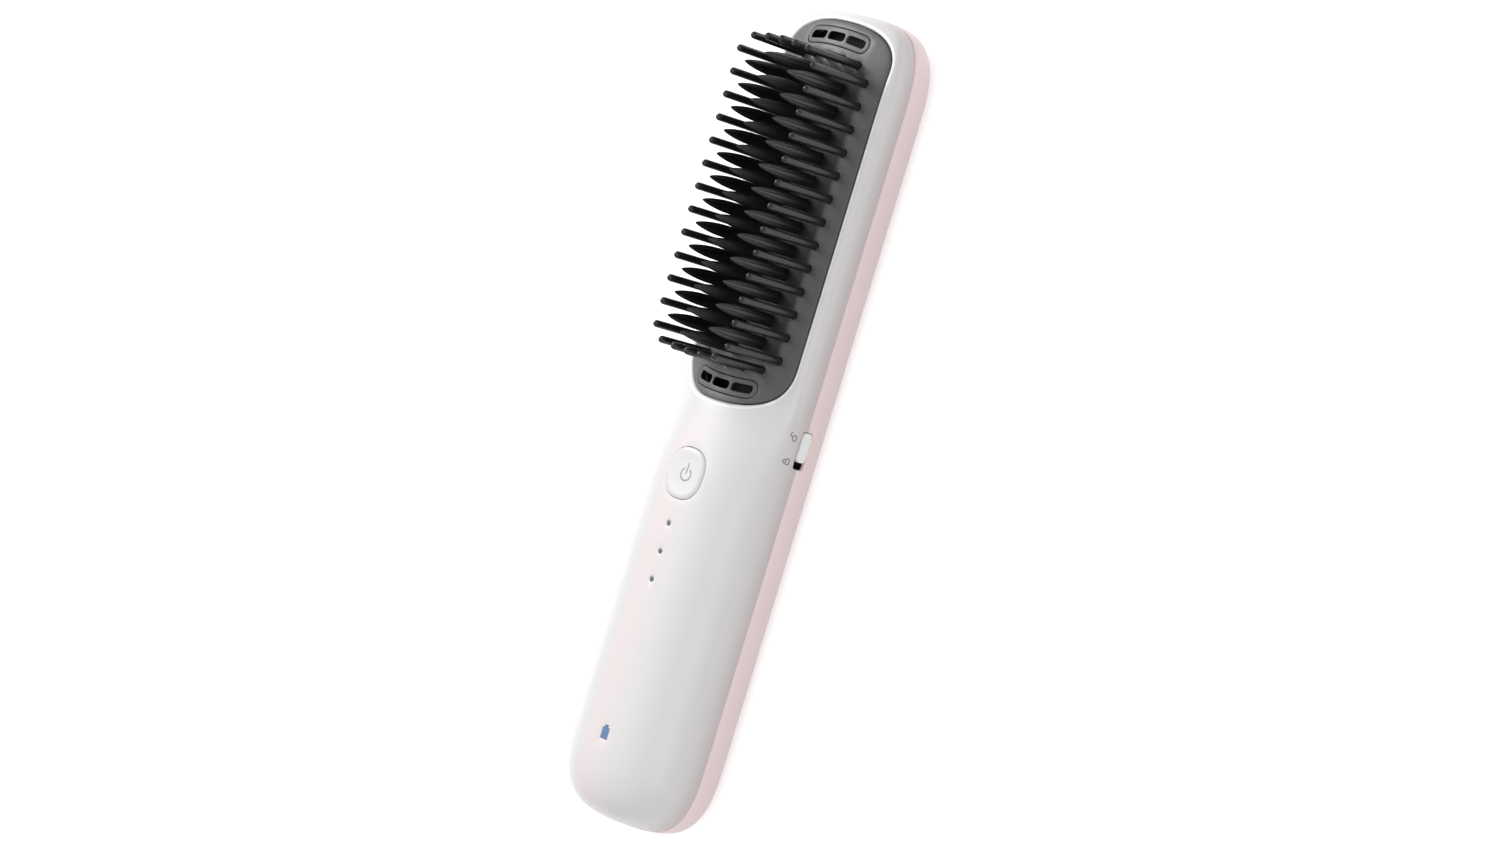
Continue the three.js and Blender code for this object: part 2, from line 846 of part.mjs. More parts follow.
function makeRearCover() {

	const lipUnderZ = partingZ - lipRoot;
	const lipInner = lipInset + lipThickness;
	const root = bodyLayer( rootInset, lipInner ).intersect( slab( lipUnderZ, partingZ - seamGap / 2 ) );
	const tongue = bodyLayer( lipInset, lipInner ).intersect( slab( lipUnderZ, partingZ + lipHeight ) );
	const roomX = sliderFlange + lipRoomMargin;
	const roomZ = sliderHeight + lipRoomMargin;
	const slotRoom = box( slotHeadX - slotLength - roomX, slotHeadX + roomX,
		- halfWidth, - switchBoardY, slotZ - roomZ, slotZ + roomZ );
	const socketRoom = middleBox( - halfLength, - halfLength + socketRoomLength,
		chargeBoardWidth / 2 + 0.5 * lipRoomMargin, lipUnderZ - 0.5 * lipRoomMargin, farZ );
	const earUnderZ = cradleEarTopZ - cradleWall;
	const stands = posts( cradleScrews, cradlePostRadius, rootDepth, earUnderZ - clearance );
	const pilots = screwHoles( cradleScrews, floorZ + pilotFloor, cradleEarTopZ );
	const chargeRibs = joined( [ 1, - 1 ].map( ( side ) => {

		const y = side * ( chargeBoardWidth / 2 - chargeRibInset );
		return box( chargeBoardX + chargeRibHandleGap, chargeBoardX + chargeBoardLength - chargeRibHeadGap,
			y - chargeRibWidth / 2, y + chargeRibWidth / 2,
			rootDepth, chargeBoardTopZ - chargeBoardThickness - clearance );

	} ) ).intersect( bodyLoft( rootInset ) );
	return bodyLayer( 0, bodyWall )
		.intersect( slab( 0, partingZ - seamGap / 2 ) )
		.add( root.add( tongue ).subtract( slotRoom ).subtract( socketRoom ) )
		.add( stands.intersect( bodyLoft( rootInset ) ) )
		.subtract( pilots )
		.add( chargeRibs )
		.add( makeSwitchPosts() )
		.subtract( sliderSlot() )
		.subtract( socketHole() );

}

// Two slotted posts that hold the lock switch's little board upright
function makeSwitchPosts() {

	const y = - switchBoardY + switchBoardThickness / 2;
	const ends = [ 1, - 1 ].map( ( side ) => {

		const x = switchMiddleX + side * switchBoardLength / 2;
		return box( x - switchPostWidth / 2, x + switchPostWidth / 2,
			y - switchPostDepth / 2, y + switchPostDepth / 2, rootDepth, slotZ + switchPostRise );

	} );
	const halfY = switchBoardThickness / 2 + clearance;
	const halfX = switchBoardLength / 2 + clearance;
	const slot = box( switchMiddleX - halfX, switchMiddleX + halfX, y - halfY, y + halfY,
		slotZ - switchBoardHeight / 2 - clearance, farZ );
	return joined( ends ).subtract( slot ).intersect( bodyLoft( rootInset ) );

}

// Bezel and grilles

// A bar along Y with rounded corners, bent so that its ends lie back from the bezel's end;
// outward is 1 at the head and -1 at the handle
function bentOutline( outward, middleY, halfY, halfX, corner, cornerSteps, sideSteps ) {

	const middleX = outward > 0 ? bezelHeadX - grilleInset : bezelHandleX + grilleInset;
	const sagScale = grilleSag / Math.pow( grilleLength / 2, 2 );
	const straight = halfY - corner;
	const points = [];
	for ( const side of [ 1, - 1 ] ) {

		for ( let i = 0; i <= sideSteps; i ++ ) {

			points.push( [ side * halfX, side * straight * ( 2 * i / sideSteps - 1 ) ] );

		}

		for ( let i = 1; i < cornerSteps; i ++ ) {

			const angle = i / cornerSteps * Math.PI;
			const flat = Math.sign( Math.cos( angle ) ) * ( halfX - corner );
			const x = flat + corner * Math.cos( angle );
			points.push( [ side * x, side * ( straight + corner * Math.sin( angle ) ) ] );

		}

	}

	return points.map( ( [ x, y ] ) => new THREE.Vector2(
		middleX + x - outward * sagScale * Math.pow( middleY + y, 2 ), middleY + y
	) );

}

function grilleOutline( outward, offset ) {

	const halfWidth = grilleWidth / 2 + offset;
	return bentOutline( outward, 0, grilleLength / 2 + offset, halfWidth, halfWidth, 5, 4 );

}

function makeGrille( outward ) {

	const sideY = slotMiddleLength / 2 + slotRib + slotSideLength / 2;
	const slots = [ [ 0, slotMiddleLength ], [ sideY, slotSideLength ], [ - sideY, slotSideLength ] ];
	const cuts = slots.map( ( [ y, length ] ) => prism(
		bentOutline( outward, y, length / 2, slotWidth / 2, slotCorner, 3, 1 )
	) );
	return prism( grilleOutline( outward, 0 ) )
		.intersect( sunkLayer( bezelSink, bezelSink + grilleThickness ) )
		.subtract( joined( cuts ) );

}

function lens( x, y, chord, thickness ) {

	return [ [ 0.5, 0 ], [ 0.2, 0.5 ], [ - 0.2, 0.5 ], [ - 0.5, 0 ], [ - 0.2, - 0.5 ], [ 0.2, - 0.5 ] ]
		.map( ( [ sx, sy ] ) => new THREE.Vector2( x + sx * chord, y + sy * thickness ) );

}

function makeBezel() {

	const bosses = posts( frameScrews, bezelBossRadius, frameTopZ + clearance, farZ )
		.intersect( sunkBody( bezelSink + bezelWall / 2 ) );
	const pilots = screwHoles( frameScrews, frameTopZ - throughMargin, frameTopZ + screwBite );
	const pinHoles = posts( Object.values( pins ).flat(), pinBaseRadius + clearance, combUnderZ, farZ, 6 );
	const bladeHoles = blades.map( ( [ x, y ] ) => prism(
		lens( x, y, bladeChord + 2 * clearance, bladeThickness + 2 * clearance ), combUnderZ
	) );
	const pocketFloor = bezelSink + grilleThickness + clearance;
	const pockets = [ 1, - 1 ].map( ( outward ) => prism( grilleOutline( outward, clearance ) )
		.subtract( sunkBody( pocketFloor ) )
		.add( prism( grilleOutline( outward, - grilleSeat ) ) ) );
	return prism( bezelOutline( 0 ) )
		.intersect( sunkLayer( bezelSink, bezelUnder ) )
		.add( bosses )
		.subtract( pilots )
		.subtract( joined( [ pinHoles, ...bladeHoles, ...pockets ] ) );

}

// Teeth

function makePin( x, y, baseZ ) {

	const domeZ = pinTipZ - pinTipRadius;
	const lean = 0.83; // angle of the dome's middle ring
	const profile = [ [ 0, baseZ ], [ pinBaseRadius, baseZ ], [ pinTipRadius, domeZ ],
		[ pinTipRadius * Math.cos( lean ), domeZ + pinTipRadius * Math.sin( lean ) ], [ 0, pinTipZ ] ];
	const geometry = new THREE.LatheGeometry( profile.map( ( p ) => new THREE.Vector2( ...p ) ), pinSides );
	geometry.rotateX( Math.PI / 2 );
	geometry.translate( x, y, 0 );
	return solidOf( geometry );

}

function makeBlade( x, y, tipZ, baseZ ) {

	const tipSteps = 3;
	const crowding = 1.7; // over 1 puts more of the steps near the tip
	const heights = [ [ baseZ, 1 ] ];
	for ( let i = tipSteps; i >= 1; i -- ) {

		const below = Math.pow( i / tipSteps, crowding );
		const share = Math.pow( Math.sin( below * Math.PI / 2 ), bladeFullness );
		heights.push( [ tipZ - bladePoint * below, share ] );

	}

	const rings = heights.map( ( [ z, share ] ) => {

		return lens( x, y, bladeChord * share, bladeThickness * share ).map( ( p ) => [ p.x, p.y, z ] );

	} );
	return loft( rings, [ x, y, baseZ ], [ x, y, tipZ ] );

}

function makeSideBristles( places ) {

	const y = places[ 0 ][ 1 ];
	const half = railWidth / 2;
	const rail = box( railHandleX, railHeadX, y - half, y + half, railTopZ - railThickness, railTopZ );
	return joined( [ rail, ...places.map( ( place ) => makePin( ...place, railTopZ - toothRoot ) ) ] );

}

function makeEndBristles( places ) {

	const half = endRailWidth / 2;
	const first = places[ 0 ];
	const last = places.at( - 1 );
	const edge = [ [ first[ 0 ], first[ 1 ] - half ], ...places, [ last[ 0 ], last[ 1 ] + half ] ];
	const outline = [
		...edge.map( ( [ x, y ] ) => new THREE.Vector2( x + half, y ) ),
		...edge.toReversed().map( ( [ x, y ] ) => new THREE.Vector2( x - half, y ) )
	];
	const rail = prism( outline, railTopZ - railThickness, railTopZ );
	return joined( [ rail, ...places.map( ( place ) => makePin( ...place, railTopZ - toothRoot ) ) ] );

}

// Heater

function makeHeaterComb() {

	const plate = middleBox( combHandleX, combHeadX, combHalfWidth, combUnderZ, combTopZ );
	const ribUnderZ = clampTopZ + clearance;
	const ribTopZ = combUnderZ + combRootDepth;
	const ribX = elementLength / 2 + clearance;
	const ribY = elementWidth / 2 + clearance;
	const ribs = [ - ribY - combRibWidth, ribY ].map( ( y ) => box(
		combMiddleX - ribX, combMiddleX + ribX, y, y + combRibWidth, ribUnderZ, ribTopZ
	) );
	const bosses = posts( clampScrews, clampArm, ribUnderZ, ribTopZ );
	const pilots = screwHoles( clampScrews, clampTopZ - throughMargin, combTopZ - pilotFloor );
	const teeth = blades.map( ( [ x, y, tipZ ] ) => makeBlade( x, y, tipZ, combTopZ - combRootDepth ) );
	return joined( [ plate, ...ribs, bosses ] )
		.subtract( pilots )
		.add( joined( teeth ) );

}

// A flat layer with the heating element's outline
function elementLayer( z0, z1 ) {

	const half = elementLength / 2;
	return middleBox( combMiddleX - half, combMiddleX + half, elementWidth / 2, z0, z1 );

}

function makeHeatingElement() {

	return elementLayer( elementTopZ - elementThickness, elementTopZ );

}

function makeInsulation() {

	return elementLayer( insulationTopZ - insulationThickness, insulationTopZ );

}

function makeClamp() {

	const arms = middleBox( clampHandleX, clampHeadX, clampArm, clampUnderZ, clampTopZ );
	return elementLayer( clampUnderZ, clampTopZ )
		.add( arms )
		.subtract( screwHoles( clampScrews, clampUnderZ - throughMargin, clampTopZ + throughMargin ) );

}

// The stepped frame that holds comb and bristle rails up against the bezel
function makeHeaterFrame() {

	const combSeatZ = combUnderZ - clearance;
	const railSeatZ = railTopZ - railThickness - clearance;
	const middleX = ( frameHeadX + frameHandleX ) / 2;
	const halfX = ( frameHeadX - frameHandleX ) / 2;
	const outline = superOval( halfX, frameHalfWidth, frameSquareness, 24, middleX );
	const rim = prism( outline, frameUnderZ, frameTopZ );
	const sideHandleX = railHandleX - clearance;
	const sideHeadX = railHeadX + clearance;
	const sideY = pinColumn + railWidth / 2 + clearance;
	const sideFloor = middleBox( sideHandleX, sideHeadX, sideY, frameUnderZ, railSeatZ );
	const endHandleX = handlePinsX - endRailWidth / 2;
	const endHeadX = headPinsX + endRailWidth / 2;
	const endFloor = middleBox( endHandleX, endHeadX, endRailY, frameUnderZ, railSeatZ );
	const combSeat = middleBox( combHandleX, combHeadX, combHalfWidth + clearance, frameUnderZ, combSeatZ );
	const cutZ = frameUnderZ - throughMargin;
	const window = middleBox( combHandleX + frameLedge, combHeadX - frameLedge,
		combHalfWidth - frameLedge, cutZ, farZ );
	const holes = screwHoles( frameScrews, cutZ, farZ );
	return joined( [ rim, sideFloor, endFloor, combSeat ] )
		.intersect( bodyLoft( lipInset + lipThickness + clearance ) )
		.subtract( window )
		.subtract( holes );

}

// A pan-head screw driven upwards, its head below the face at z
function makeScrew( x, y, z, shank ) {

	const headTopZ = z - clearance;
	const head = post( x, y, screwHeadRadius, headTopZ - screwHeadHeight, headTopZ, 10 );
	return head.add( post( x, y, screwRadius, headTopZ - screwNeck, z + shank, 6 ) );

}

function makeThermalFuse() {

	const z = clampUnderZ - clearance - fuseRadius;
	const lying = ( length, radius, sides ) => bar(
		combMiddleX - length / 2, combMiddleX + length / 2, 0, z, radius, sides
	);
	return lying( fuseLength, fuseRadius, 12 ).add( lying( fuseSpan, fuseWireRadius, 6 ) );

}

function makeThermistor() {

	const x = clampHeadX + thermistorGap;
	const z = combUnderZ - clearance - thermistorRadius;
	const wireX = x + thermistorLength;
	return bar( x, wireX, 0, z, thermistorRadius, 8 )
		.add( bar( wireX - 0.5, wireX + thermistorWireLength, 0, z, thermistorWireRadius, 6 ) );

}

// Power button and its switch

function makePowerButton() {

	const cap = prism( buttonOutline( 0 ) )
		.intersect( bodyLayer( - buttonProud, buttonWall - buttonProud ) );
	const flange = prism( buttonOutline( buttonFlange ) )
		.subtract( prism( buttonOutline( - buttonSkirt ) ) )
		.intersect( bodyLayer( bodyWall + clearance, bodyWall + clearance + buttonFlangeThickness ) );
	const skirt = prism( buttonOutline( 0 ) )
		.subtract( prism( buttonOutline( - buttonSkirt ) ) )
		.intersect( bodyLayer( 0, bodyWall + clearance + buttonFlangeThickness ) );
	const stemZ = boardTopZ + tactHeight + plungerHeight + clearance;
	const stem = post( buttonX, 0, plungerRadius, stemZ, farZ ).intersect( bodyLoft( buttonWall / 2 ) );
	return joined( [ cap, skirt, flange, stem ] );

}

function makeTactBody() {

	const half = tactWidth / 2;
	const base = boardTopZ + clearance;
	return middleBox( buttonX - half, buttonX + half, half, base, boardTopZ + tactHeight )
		.subtract( post( buttonX, 0, plungerRadius + clearance, base + tactFloor, farZ ) );

}

function makeTactPlunger() {

	const underZ = boardTopZ + clearance + tactFloor + buttonTravel + tactSlack;
	return post( buttonX, 0, plungerRadius, underZ, boardTopZ + tactHeight + plungerHeight );

}

// Lock slider and its switch

// A block on the parting line, with a wide foot inside the wall and a fork round the lever
function makeLockSlider() {

	const foot = sliderInnerY - sliderFlange;
	const outline = superOval( sliderLength / 2, sliderHeight / 2, sliderSquareness, 24 );
	const block = prism( outline, foot, halfWidth + sliderProud )
		.rotate( [ 90, 0, 0 ] )
		.translate( [ sliderMiddleX, 0, slotZ ] );
	const flangeHalfX = sliderLength / 2 + sliderFlange;
	const flangeHalfZ = sliderHeight / 2 + sliderFlange;
	const flange = box( sliderMiddleX - flangeHalfX, sliderMiddleX + flangeHalfX,
		- sliderInnerY, - foot, slotZ - flangeHalfZ, slotZ + flangeHalfZ );
	const prongs = [ 1, - 1 ].map( ( side ) => {

		const x = sliderMiddleX + side * ( leverWidth / 2 + clearance + forkThickness / 2 );
		return box( x - forkThickness / 2, x + forkThickness / 2, - foot, - leverY + leverBite,
			slotZ - forkHeight / 2, slotZ + forkHeight / 2 );

	} );
	return joined( [ block, flange, ...prongs ] );

}

function makeSwitchLever() {

	return box( sliderMiddleX - leverWidth / 2, sliderMiddleX + leverWidth / 2,
		- leverY, - switchFaceY + leverBite, slotZ - leverHeight / 2, slotZ + leverHeight / 2 );

}

function makeSwitchBody() {

	const halfX = switchBodyLength / 2;
	const halfZ = switchBodyHeight / 2;
	const gapX = leverWidth / 2 + clearance;
	const gapZ = leverHeight / 2 + clearance;
	const room = box( sliderMiddleX - sliderTravel - gapX, sliderMiddleX + gapX,
		- switchFaceY - throughMargin, - switchFaceY + leverBite + clearance, slotZ - gapZ, slotZ + gapZ );
	return box( switchMiddleX - halfX, switchMiddleX + halfX,
		- switchFaceY + clearance, - switchBoardY - clearance, slotZ - halfZ, slotZ + halfZ ).subtract( room );

}

function makeSwitchBoard() {

	const half = switchBoardLength / 2;
	const halfZ = switchBoardHeight / 2;
	return box( switchMiddleX - half, switchMiddleX + half,
		- switchBoardY, - switchBoardY + switchBoardThickness, slotZ - halfZ, slotZ + halfZ );

}

// Boards, lights and small electronics

function makeMainBoard() {

	return middleBox( boardButtX, boardHeadX, boardWidth / 2, boardUnderZ, boardTopZ )
		.subtract( screwHoles( boardPosts, boardUnderZ - throughMargin, boardTopZ + throughMargin ) );

}

function onBoard( x, y, halfX, halfY, height ) {

	const seatZ = boardTopZ + clearance;
	return box( x - halfX, x + halfX, y - halfY, y + halfY, seatZ, seatZ + height );

}

function underBoard( x, y, halfX, halfY, height ) {

	const seatZ = boardUnderZ - clearance;
	return box( x - halfX, x + halfX, y - halfY, y + halfY, seatZ - height, seatZ );

}

// A strip under the shell with a peg through each light hole
function makeLightGuide() {

	const reach = lightHoleRadius + guideMargin;
	const first = lights[ 0 ] + reach;
	const last = lights.at( - 1 ) - reach;
	const top = bodyWall + clearance;
	const strip = middleBox( last, first, reach, partingZ, farZ )
		.intersect( bodyLayer( top, top + guideThickness ) );
	const pegs = posts( lights.map( ( x ) => [ x, 0 ] ), lightHoleRadius - clearance, guideUnderZ, farZ )
		.intersect( bodyLoft( guideSink ) );
	return strip.add( pegs );

}

function makeBatteryGuide() {

	const top = bodyWall + clearance;
	const halfX = batteryMarkLength / 2 + guideMargin;
	const halfY = batteryMarkWidth / 2 + guideMargin;
	const flange = middleBox( batteryMarkX - halfX, batteryMarkX + halfX, halfY, partingZ, farZ )
		.intersect( bodyLayer( top, top + guideThickness ) );
	const peg = prism( batteryOutline( - clearance ), guideUnderZ ).intersect( bodyLoft( guideSink ) );
	return flange.add( peg );

}

// Cells and their holder

function makeCell( side ) {

	return bar( cellButtX, cellHeadX, side * cellY, cellZ, cellRadius );

}

function makeCradle() {

	const topZ = cellZ - cradleRise;
	const stepZ = partingZ - lipRoot - clearance;
	const blank = box( cradleButtX, cradleHeadX, - halfWidth, halfWidth, 0, topZ );
	const foot = blank.intersect( bodyLoft( bodyWall + clearance ) ).intersect( slab( 0, stepZ ) );
	const block = blank.intersect( bodyLoft( bodyWall + lipThickness + 2 * clearance ) ).add( foot );
	const roomButtX = cellButtX - cradleGap;
	const roomHeadX = cellHeadX + cradleGap;
	const tabReach = tabHalfWidth + cradleTabMargin;
	const tabRoom = middleBox( roomButtX, roomHeadX, cellY + tabReach, cellZ - tabReach, farZ );
	const middleRib = middleBox( cellButtX + 1, cellHeadX - 1, 1, 0, farZ );
	const room = [ cellY, - cellY ].map( ( y ) => bar(
		roomButtX, roomHeadX, y, cellZ, cellRadius + clearance
	) );
	const ears = cradleScrews.map( ( [ x, y ] ) => box(
		cradleHeadX - cradleEarRoot, cradleHeadX + cradleEarLength,
		y - cradleEarHalfWidth, y + cradleEarHalfWidth,
		cradleEarTopZ - cradleWall, cradleEarTopZ
	) );
	return block
		.subtract( joined( room ) )
		.subtract( tabRoom.subtract( middleRib ) )
		.add( joined( ears ) )
		.subtract( screwHoles( cradleScrews, 0, farZ ) );

}

// A strip from the cell at y0 to the cell at y1
function makeTab( x, y0, y1 ) {

	return box( x, x + tabThickness,
		y0 - tabHalfWidth, y1 + tabHalfWidth, cellZ - tabHalfWidth, cellZ + tabHalfWidth );

}

// A pan-head screw driven downwards, its head above the face at z
function makeScrewDown( x, y, z, shank ) {

	const headUnderZ = z + clearance;
	const head = post( x, y, screwHeadRadius, headUnderZ, headUnderZ + screwHeadHeight, 10 );
	return head.add( post( x, y, screwRadius, z - shank, headUnderZ + screwNeck, 6 ) );

}

// Charging socket

function makeChargeBoard() {

	return middleBox( chargeBoardX, chargeBoardX + chargeBoardLength,
		chargeBoardWidth / 2, chargeBoardTopZ - chargeBoardThickness, chargeBoardTopZ )
		.intersect( bodyLoft( bodyWall + 2 * clearance ) );

}

function makeSocketShell() {

	const halfY = socketWidth / 2;
	const halfZ = socketHeight / 2;
	const hole = socketOval( halfY - socketWall, halfZ - socketWall );
	return prismAlongX( socketOval( halfY, halfZ ), socketMouthX, socketBackX )
		.subtract( prismAlongX( hole, socketMouthX - throughMargin, socketBackX + throughMargin ) );

}

function makeSocketTongue() {

	const reach = socketWall + clearance;
	const outline = socketOval( socketWidth / 2 - reach, socketHeight / 2 - reach );
	const tongue = middleBox( socketMouthX + tongueInset, socketBackX - tongueBase / 2,
		tongueHalfWidth, socketZ - tongueHalfHeight, socketZ + tongueHalfHeight );
	return prismAlongX( outline, socketBackX - tongueBase, socketBackX ).add( tongue );

}

// Wires

function makeHeaterLead( side ) {

	const startX = combMiddleX - elementLength / 2 - clearance;
	const y = side * ( clampArm + clearance + leadRadius + 0.2 );
	const z = elementTopZ - leadRadius;
	const low = frameUnderZ - 2;
	return lead( [
		[ startX, y, z ],
		[ startX - 3, y, z - 0.5 ],
		[ combHandleX + 5, y, low + 0.6 ],
		[ frameHandleX + 2, y, low ],
		[ connectorHeadX + 6, y, connectorZ - 2.5 ],
		[ connectorHeadX + 2, y, connectorZ ],
		[ connectorHeadX + clearance, y, connectorZ ]
	], 14 );

}

function makeTransistor() {

	return underBoard( buttonX - buttonWidth / 2, 0, transistorHalfLength, chipHalfWidth, transistorHeight );

}

function makeConnector() {

	const x = connectorHeadX - connectorLength / 2;
	return underBoard( x, 0, connectorLength / 2, connectorHalfWidth, connectorHeight );

}

function makeBatteryLead( side ) {

	const x = cellHeadX + clearance + tabThickness + clearance + leadRadius;
	const y = side * ( cellY + 1 );
	return lead( [
		[ x, y, cellZ + 2 ],
		[ x + 0.3, y, cellZ + 4 ],
		[ x + 1.2, y - side * 1.4, boardUnderZ - 2.4 ],
		[ x + 1.2, y - side * 1.6, boardUnderZ - clearance - 0.1 ]
	], 8 );

}

function makeChargeLead() {

	const x = chargeBoardX + chargeBoardLength - 1.2;
	const boardX = boardButtX + 1.4;
	return lead( [
		[ x, 0, chargeBoardTopZ + clearance + 0.1 ],
		[ x, 0, chargeBoardTopZ + 4 ],
		[ boardX - 0.6, 0, boardUnderZ - 4 ],
		[ boardX, 0, boardUnderZ - clearance - 0.1 ]
	], 8 );

}

function makeSwitchLead() {

	const x = switchMiddleX - 3;
	const y = - switchBoardY + switchBoardThickness + clearance + leadRadius;
	const endX = boardHeadX - 5.85;
	const endY = - boardWidth / 2 + 1.3;
	return lead( [
		[ x, y, slotZ ],
		[ x - 0.6, y + 0.3, slotZ + 3 ],
		[ endX + 0.2, endY - 0.2, boardUnderZ - 2.6 ],
		[ endX, endY, boardUnderZ - clearance - 0.1 ]
	], 8 );

}

// The assembly

const brush = new THREE.Group();
brush.name = 'hair_straightening_brush';

function add( name, solid, surface ) {

	const mesh = new THREE.Mesh( geometryOf( solid ), surface );
	mesh.name = name;
	brush.add( mesh );

}

add( 'front_shell', makeFrontShell(), finish.white );
add( 'rear_cover', makeRearCover(), finish.pink );

add( 'bezel', makeBezel(), finish.grey );
add( 'vent_grille_head', makeGrille( 1 ), finish.grey );
add( 'vent_grille_handle', makeGrille( - 1 ), finish.grey );
add( 'guard_bristles_left', makeSideBristles( pins.left ), finish.black );
add( 'guard_bristles_right', makeSideBristles( pins.right ), finish.black );
add( 'guard_bristles_head', makeEndBristles( pins.head ), finish.black );
add( 'guard_bristles_handle', makeEndBristles( pins.handle ), finish.black );

add( 'heater_comb', makeHeaterComb(), finish.blackMetal );
add( 'heating_element', makeHeatingElement(), finish.ceramic );
add( 'insulation_sheet', makeInsulation(), finish.mica );
add( 'heater_clamp', makeClamp(), finish.steel );
clampScrews.forEach( ( [ x, y ], i ) => add(
	`clamp_screw_${ i + 1 }`, makeScrew( x, y, clampUnderZ, screwBite ), finish.steel
) );
add( 'heater_frame', makeHeaterFrame(), finish.frame );
frameScrews.forEach( ( [ x, y ], i ) => add(
	`frame_screw_${ i + 1 }`,
	makeScrew( x, y, frameUnderZ, frameThickness + screwBite - screwEndGap ), finish.steel
) );
add( 'thermal_fuse', makeThermalFuse(), finish.ceramic );
add( 'temperature_sensor', makeThermistor(), finish.chip );
add( 'heater_lead_left', makeHeaterLead( 1 ), finish.red );
add( 'heater_lead_right', makeHeaterLead( - 1 ), finish.red );

add( 'power_button', makePowerButton(), finish.white );
add( 'tact_switch_body', makeTactBody(), finish.chip );
add( 'tact_plunger', makeTactPlunger(), finish.black );
add( 'lock_slider', makeLockSlider(), finish.white );
add( 'slide_switch_lever', makeSwitchLever(), finish.black );
add( 'slide_switch_body', makeSwitchBody(), finish.steel );
add( 'switch_board', makeSwitchBoard(), finish.board );
add( 'switch_lead', makeSwitchLead(), finish.red );

add( 'main_board', makeMainBoard(), finish.board );
boardPosts.forEach( ( [ x, y ], i ) => add(
	`board_screw_${ i + 1 }`,
	makeScrew( x, y, boardUnderZ, boardThickness + screwBite - boardScrewGap ), finish.steel
) );
[ ...lights, batteryMarkX ].forEach( ( x, i ) => add(
	i < lightCount ? `light_chip_${ i + 1 }` : 'battery_light_chip',
	onBoard( x, 0, ledHalfLength, ledHalfWidth, ledHeight ), finish.ceramic
) );
add( 'light_guide', makeLightGuide(), finish.clear );
add( 'battery_light_guide', makeBatteryGuide(), finish.clear );
add( 'control_chip', onBoard( controlChipX, 0, chipHalfWidth, chipHalfWidth, chipHeight ), finish.chip );
add( 'power_transistor', makeTransistor(), finish.chip );
add( 'lead_connector', makeConnector(), finish.ceramic );

add( 'cell_left', makeCell( 1 ), finish.cell );
add( 'cell_right', makeCell( - 1 ), finish.cell );
add( 'battery_cradle', makeCradle(), finish.frame );
add( 'cell_link', makeTab( cellButtX - clearance - tabThickness, - cellY, cellY ), finish.steel );
add( 'cell_tab_left', makeTab( cellHeadX + clearance, cellY, cellY ), finish.steel );
add( 'cell_tab_right', makeTab( cellHeadX + clearance, - cellY, - cellY ), finish.steel );
cradleScrews.forEach( ( [ x, y ], i ) => add(
	`cradle_screw_${ i + 1 }`, makeScrewDown( x, y, cradleEarTopZ, cradleScrewLength ), finish.steel
) );
add( 'battery_lead_left', makeBatteryLead( 1 ), finish.red );
add( 'battery_lead_right', makeBatteryLead( - 1 ), finish.red );

add( 'charge_board', makeChargeBoard(), finish.board );
add( 'charge_lead', makeChargeLead(), finish.red );
add( 'usb_c_shell', makeSocketShell(), finish.steel );
add( 'usb_c_tongue', makeSocketTongue(), finish.black );

export default brush;
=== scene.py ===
import json
import math

import bmesh
import bpy
import numpy as np
from mathutils import Matrix, Vector
from mathutils.geometry import delaunay_2d_cdt


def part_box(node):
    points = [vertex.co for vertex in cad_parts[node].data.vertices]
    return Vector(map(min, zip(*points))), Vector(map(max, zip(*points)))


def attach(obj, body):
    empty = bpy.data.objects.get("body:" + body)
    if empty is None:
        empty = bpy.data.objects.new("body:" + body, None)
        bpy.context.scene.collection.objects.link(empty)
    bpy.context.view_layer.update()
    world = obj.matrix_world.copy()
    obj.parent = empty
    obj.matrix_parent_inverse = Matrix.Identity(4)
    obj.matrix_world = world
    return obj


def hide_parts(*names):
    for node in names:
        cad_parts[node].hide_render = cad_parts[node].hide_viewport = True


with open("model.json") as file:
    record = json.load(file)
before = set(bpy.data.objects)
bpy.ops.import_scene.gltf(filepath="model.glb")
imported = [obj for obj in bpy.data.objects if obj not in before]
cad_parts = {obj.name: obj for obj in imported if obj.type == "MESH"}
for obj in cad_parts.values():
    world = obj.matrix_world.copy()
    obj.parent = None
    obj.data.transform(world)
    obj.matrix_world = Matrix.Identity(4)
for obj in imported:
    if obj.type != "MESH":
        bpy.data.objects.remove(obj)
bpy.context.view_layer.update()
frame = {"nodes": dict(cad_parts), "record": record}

# A hair straightening brush lying on its back. Sizes are in millimetres until a mesh is made.
mm = 0.001
scene = bpy.context.scene
print("frame loaded,", len(frame["nodes"]), "nodes")


def addObject(name, data):
    made = bpy.data.objects.new(name, data)
    scene.collection.objects.link(made)
    return made


view = {
    "sideAngle": 48.0,  # degrees from straight above the teeth, round towards the right side
    "nod": -1.768,
    "roll": 16.924,
    "distance": 1.150,
    "slideRight": 0.00615,
    "slideUp": -0.00168,
    "aimHeight": 0.0193,
    "lens": 105.06,
}


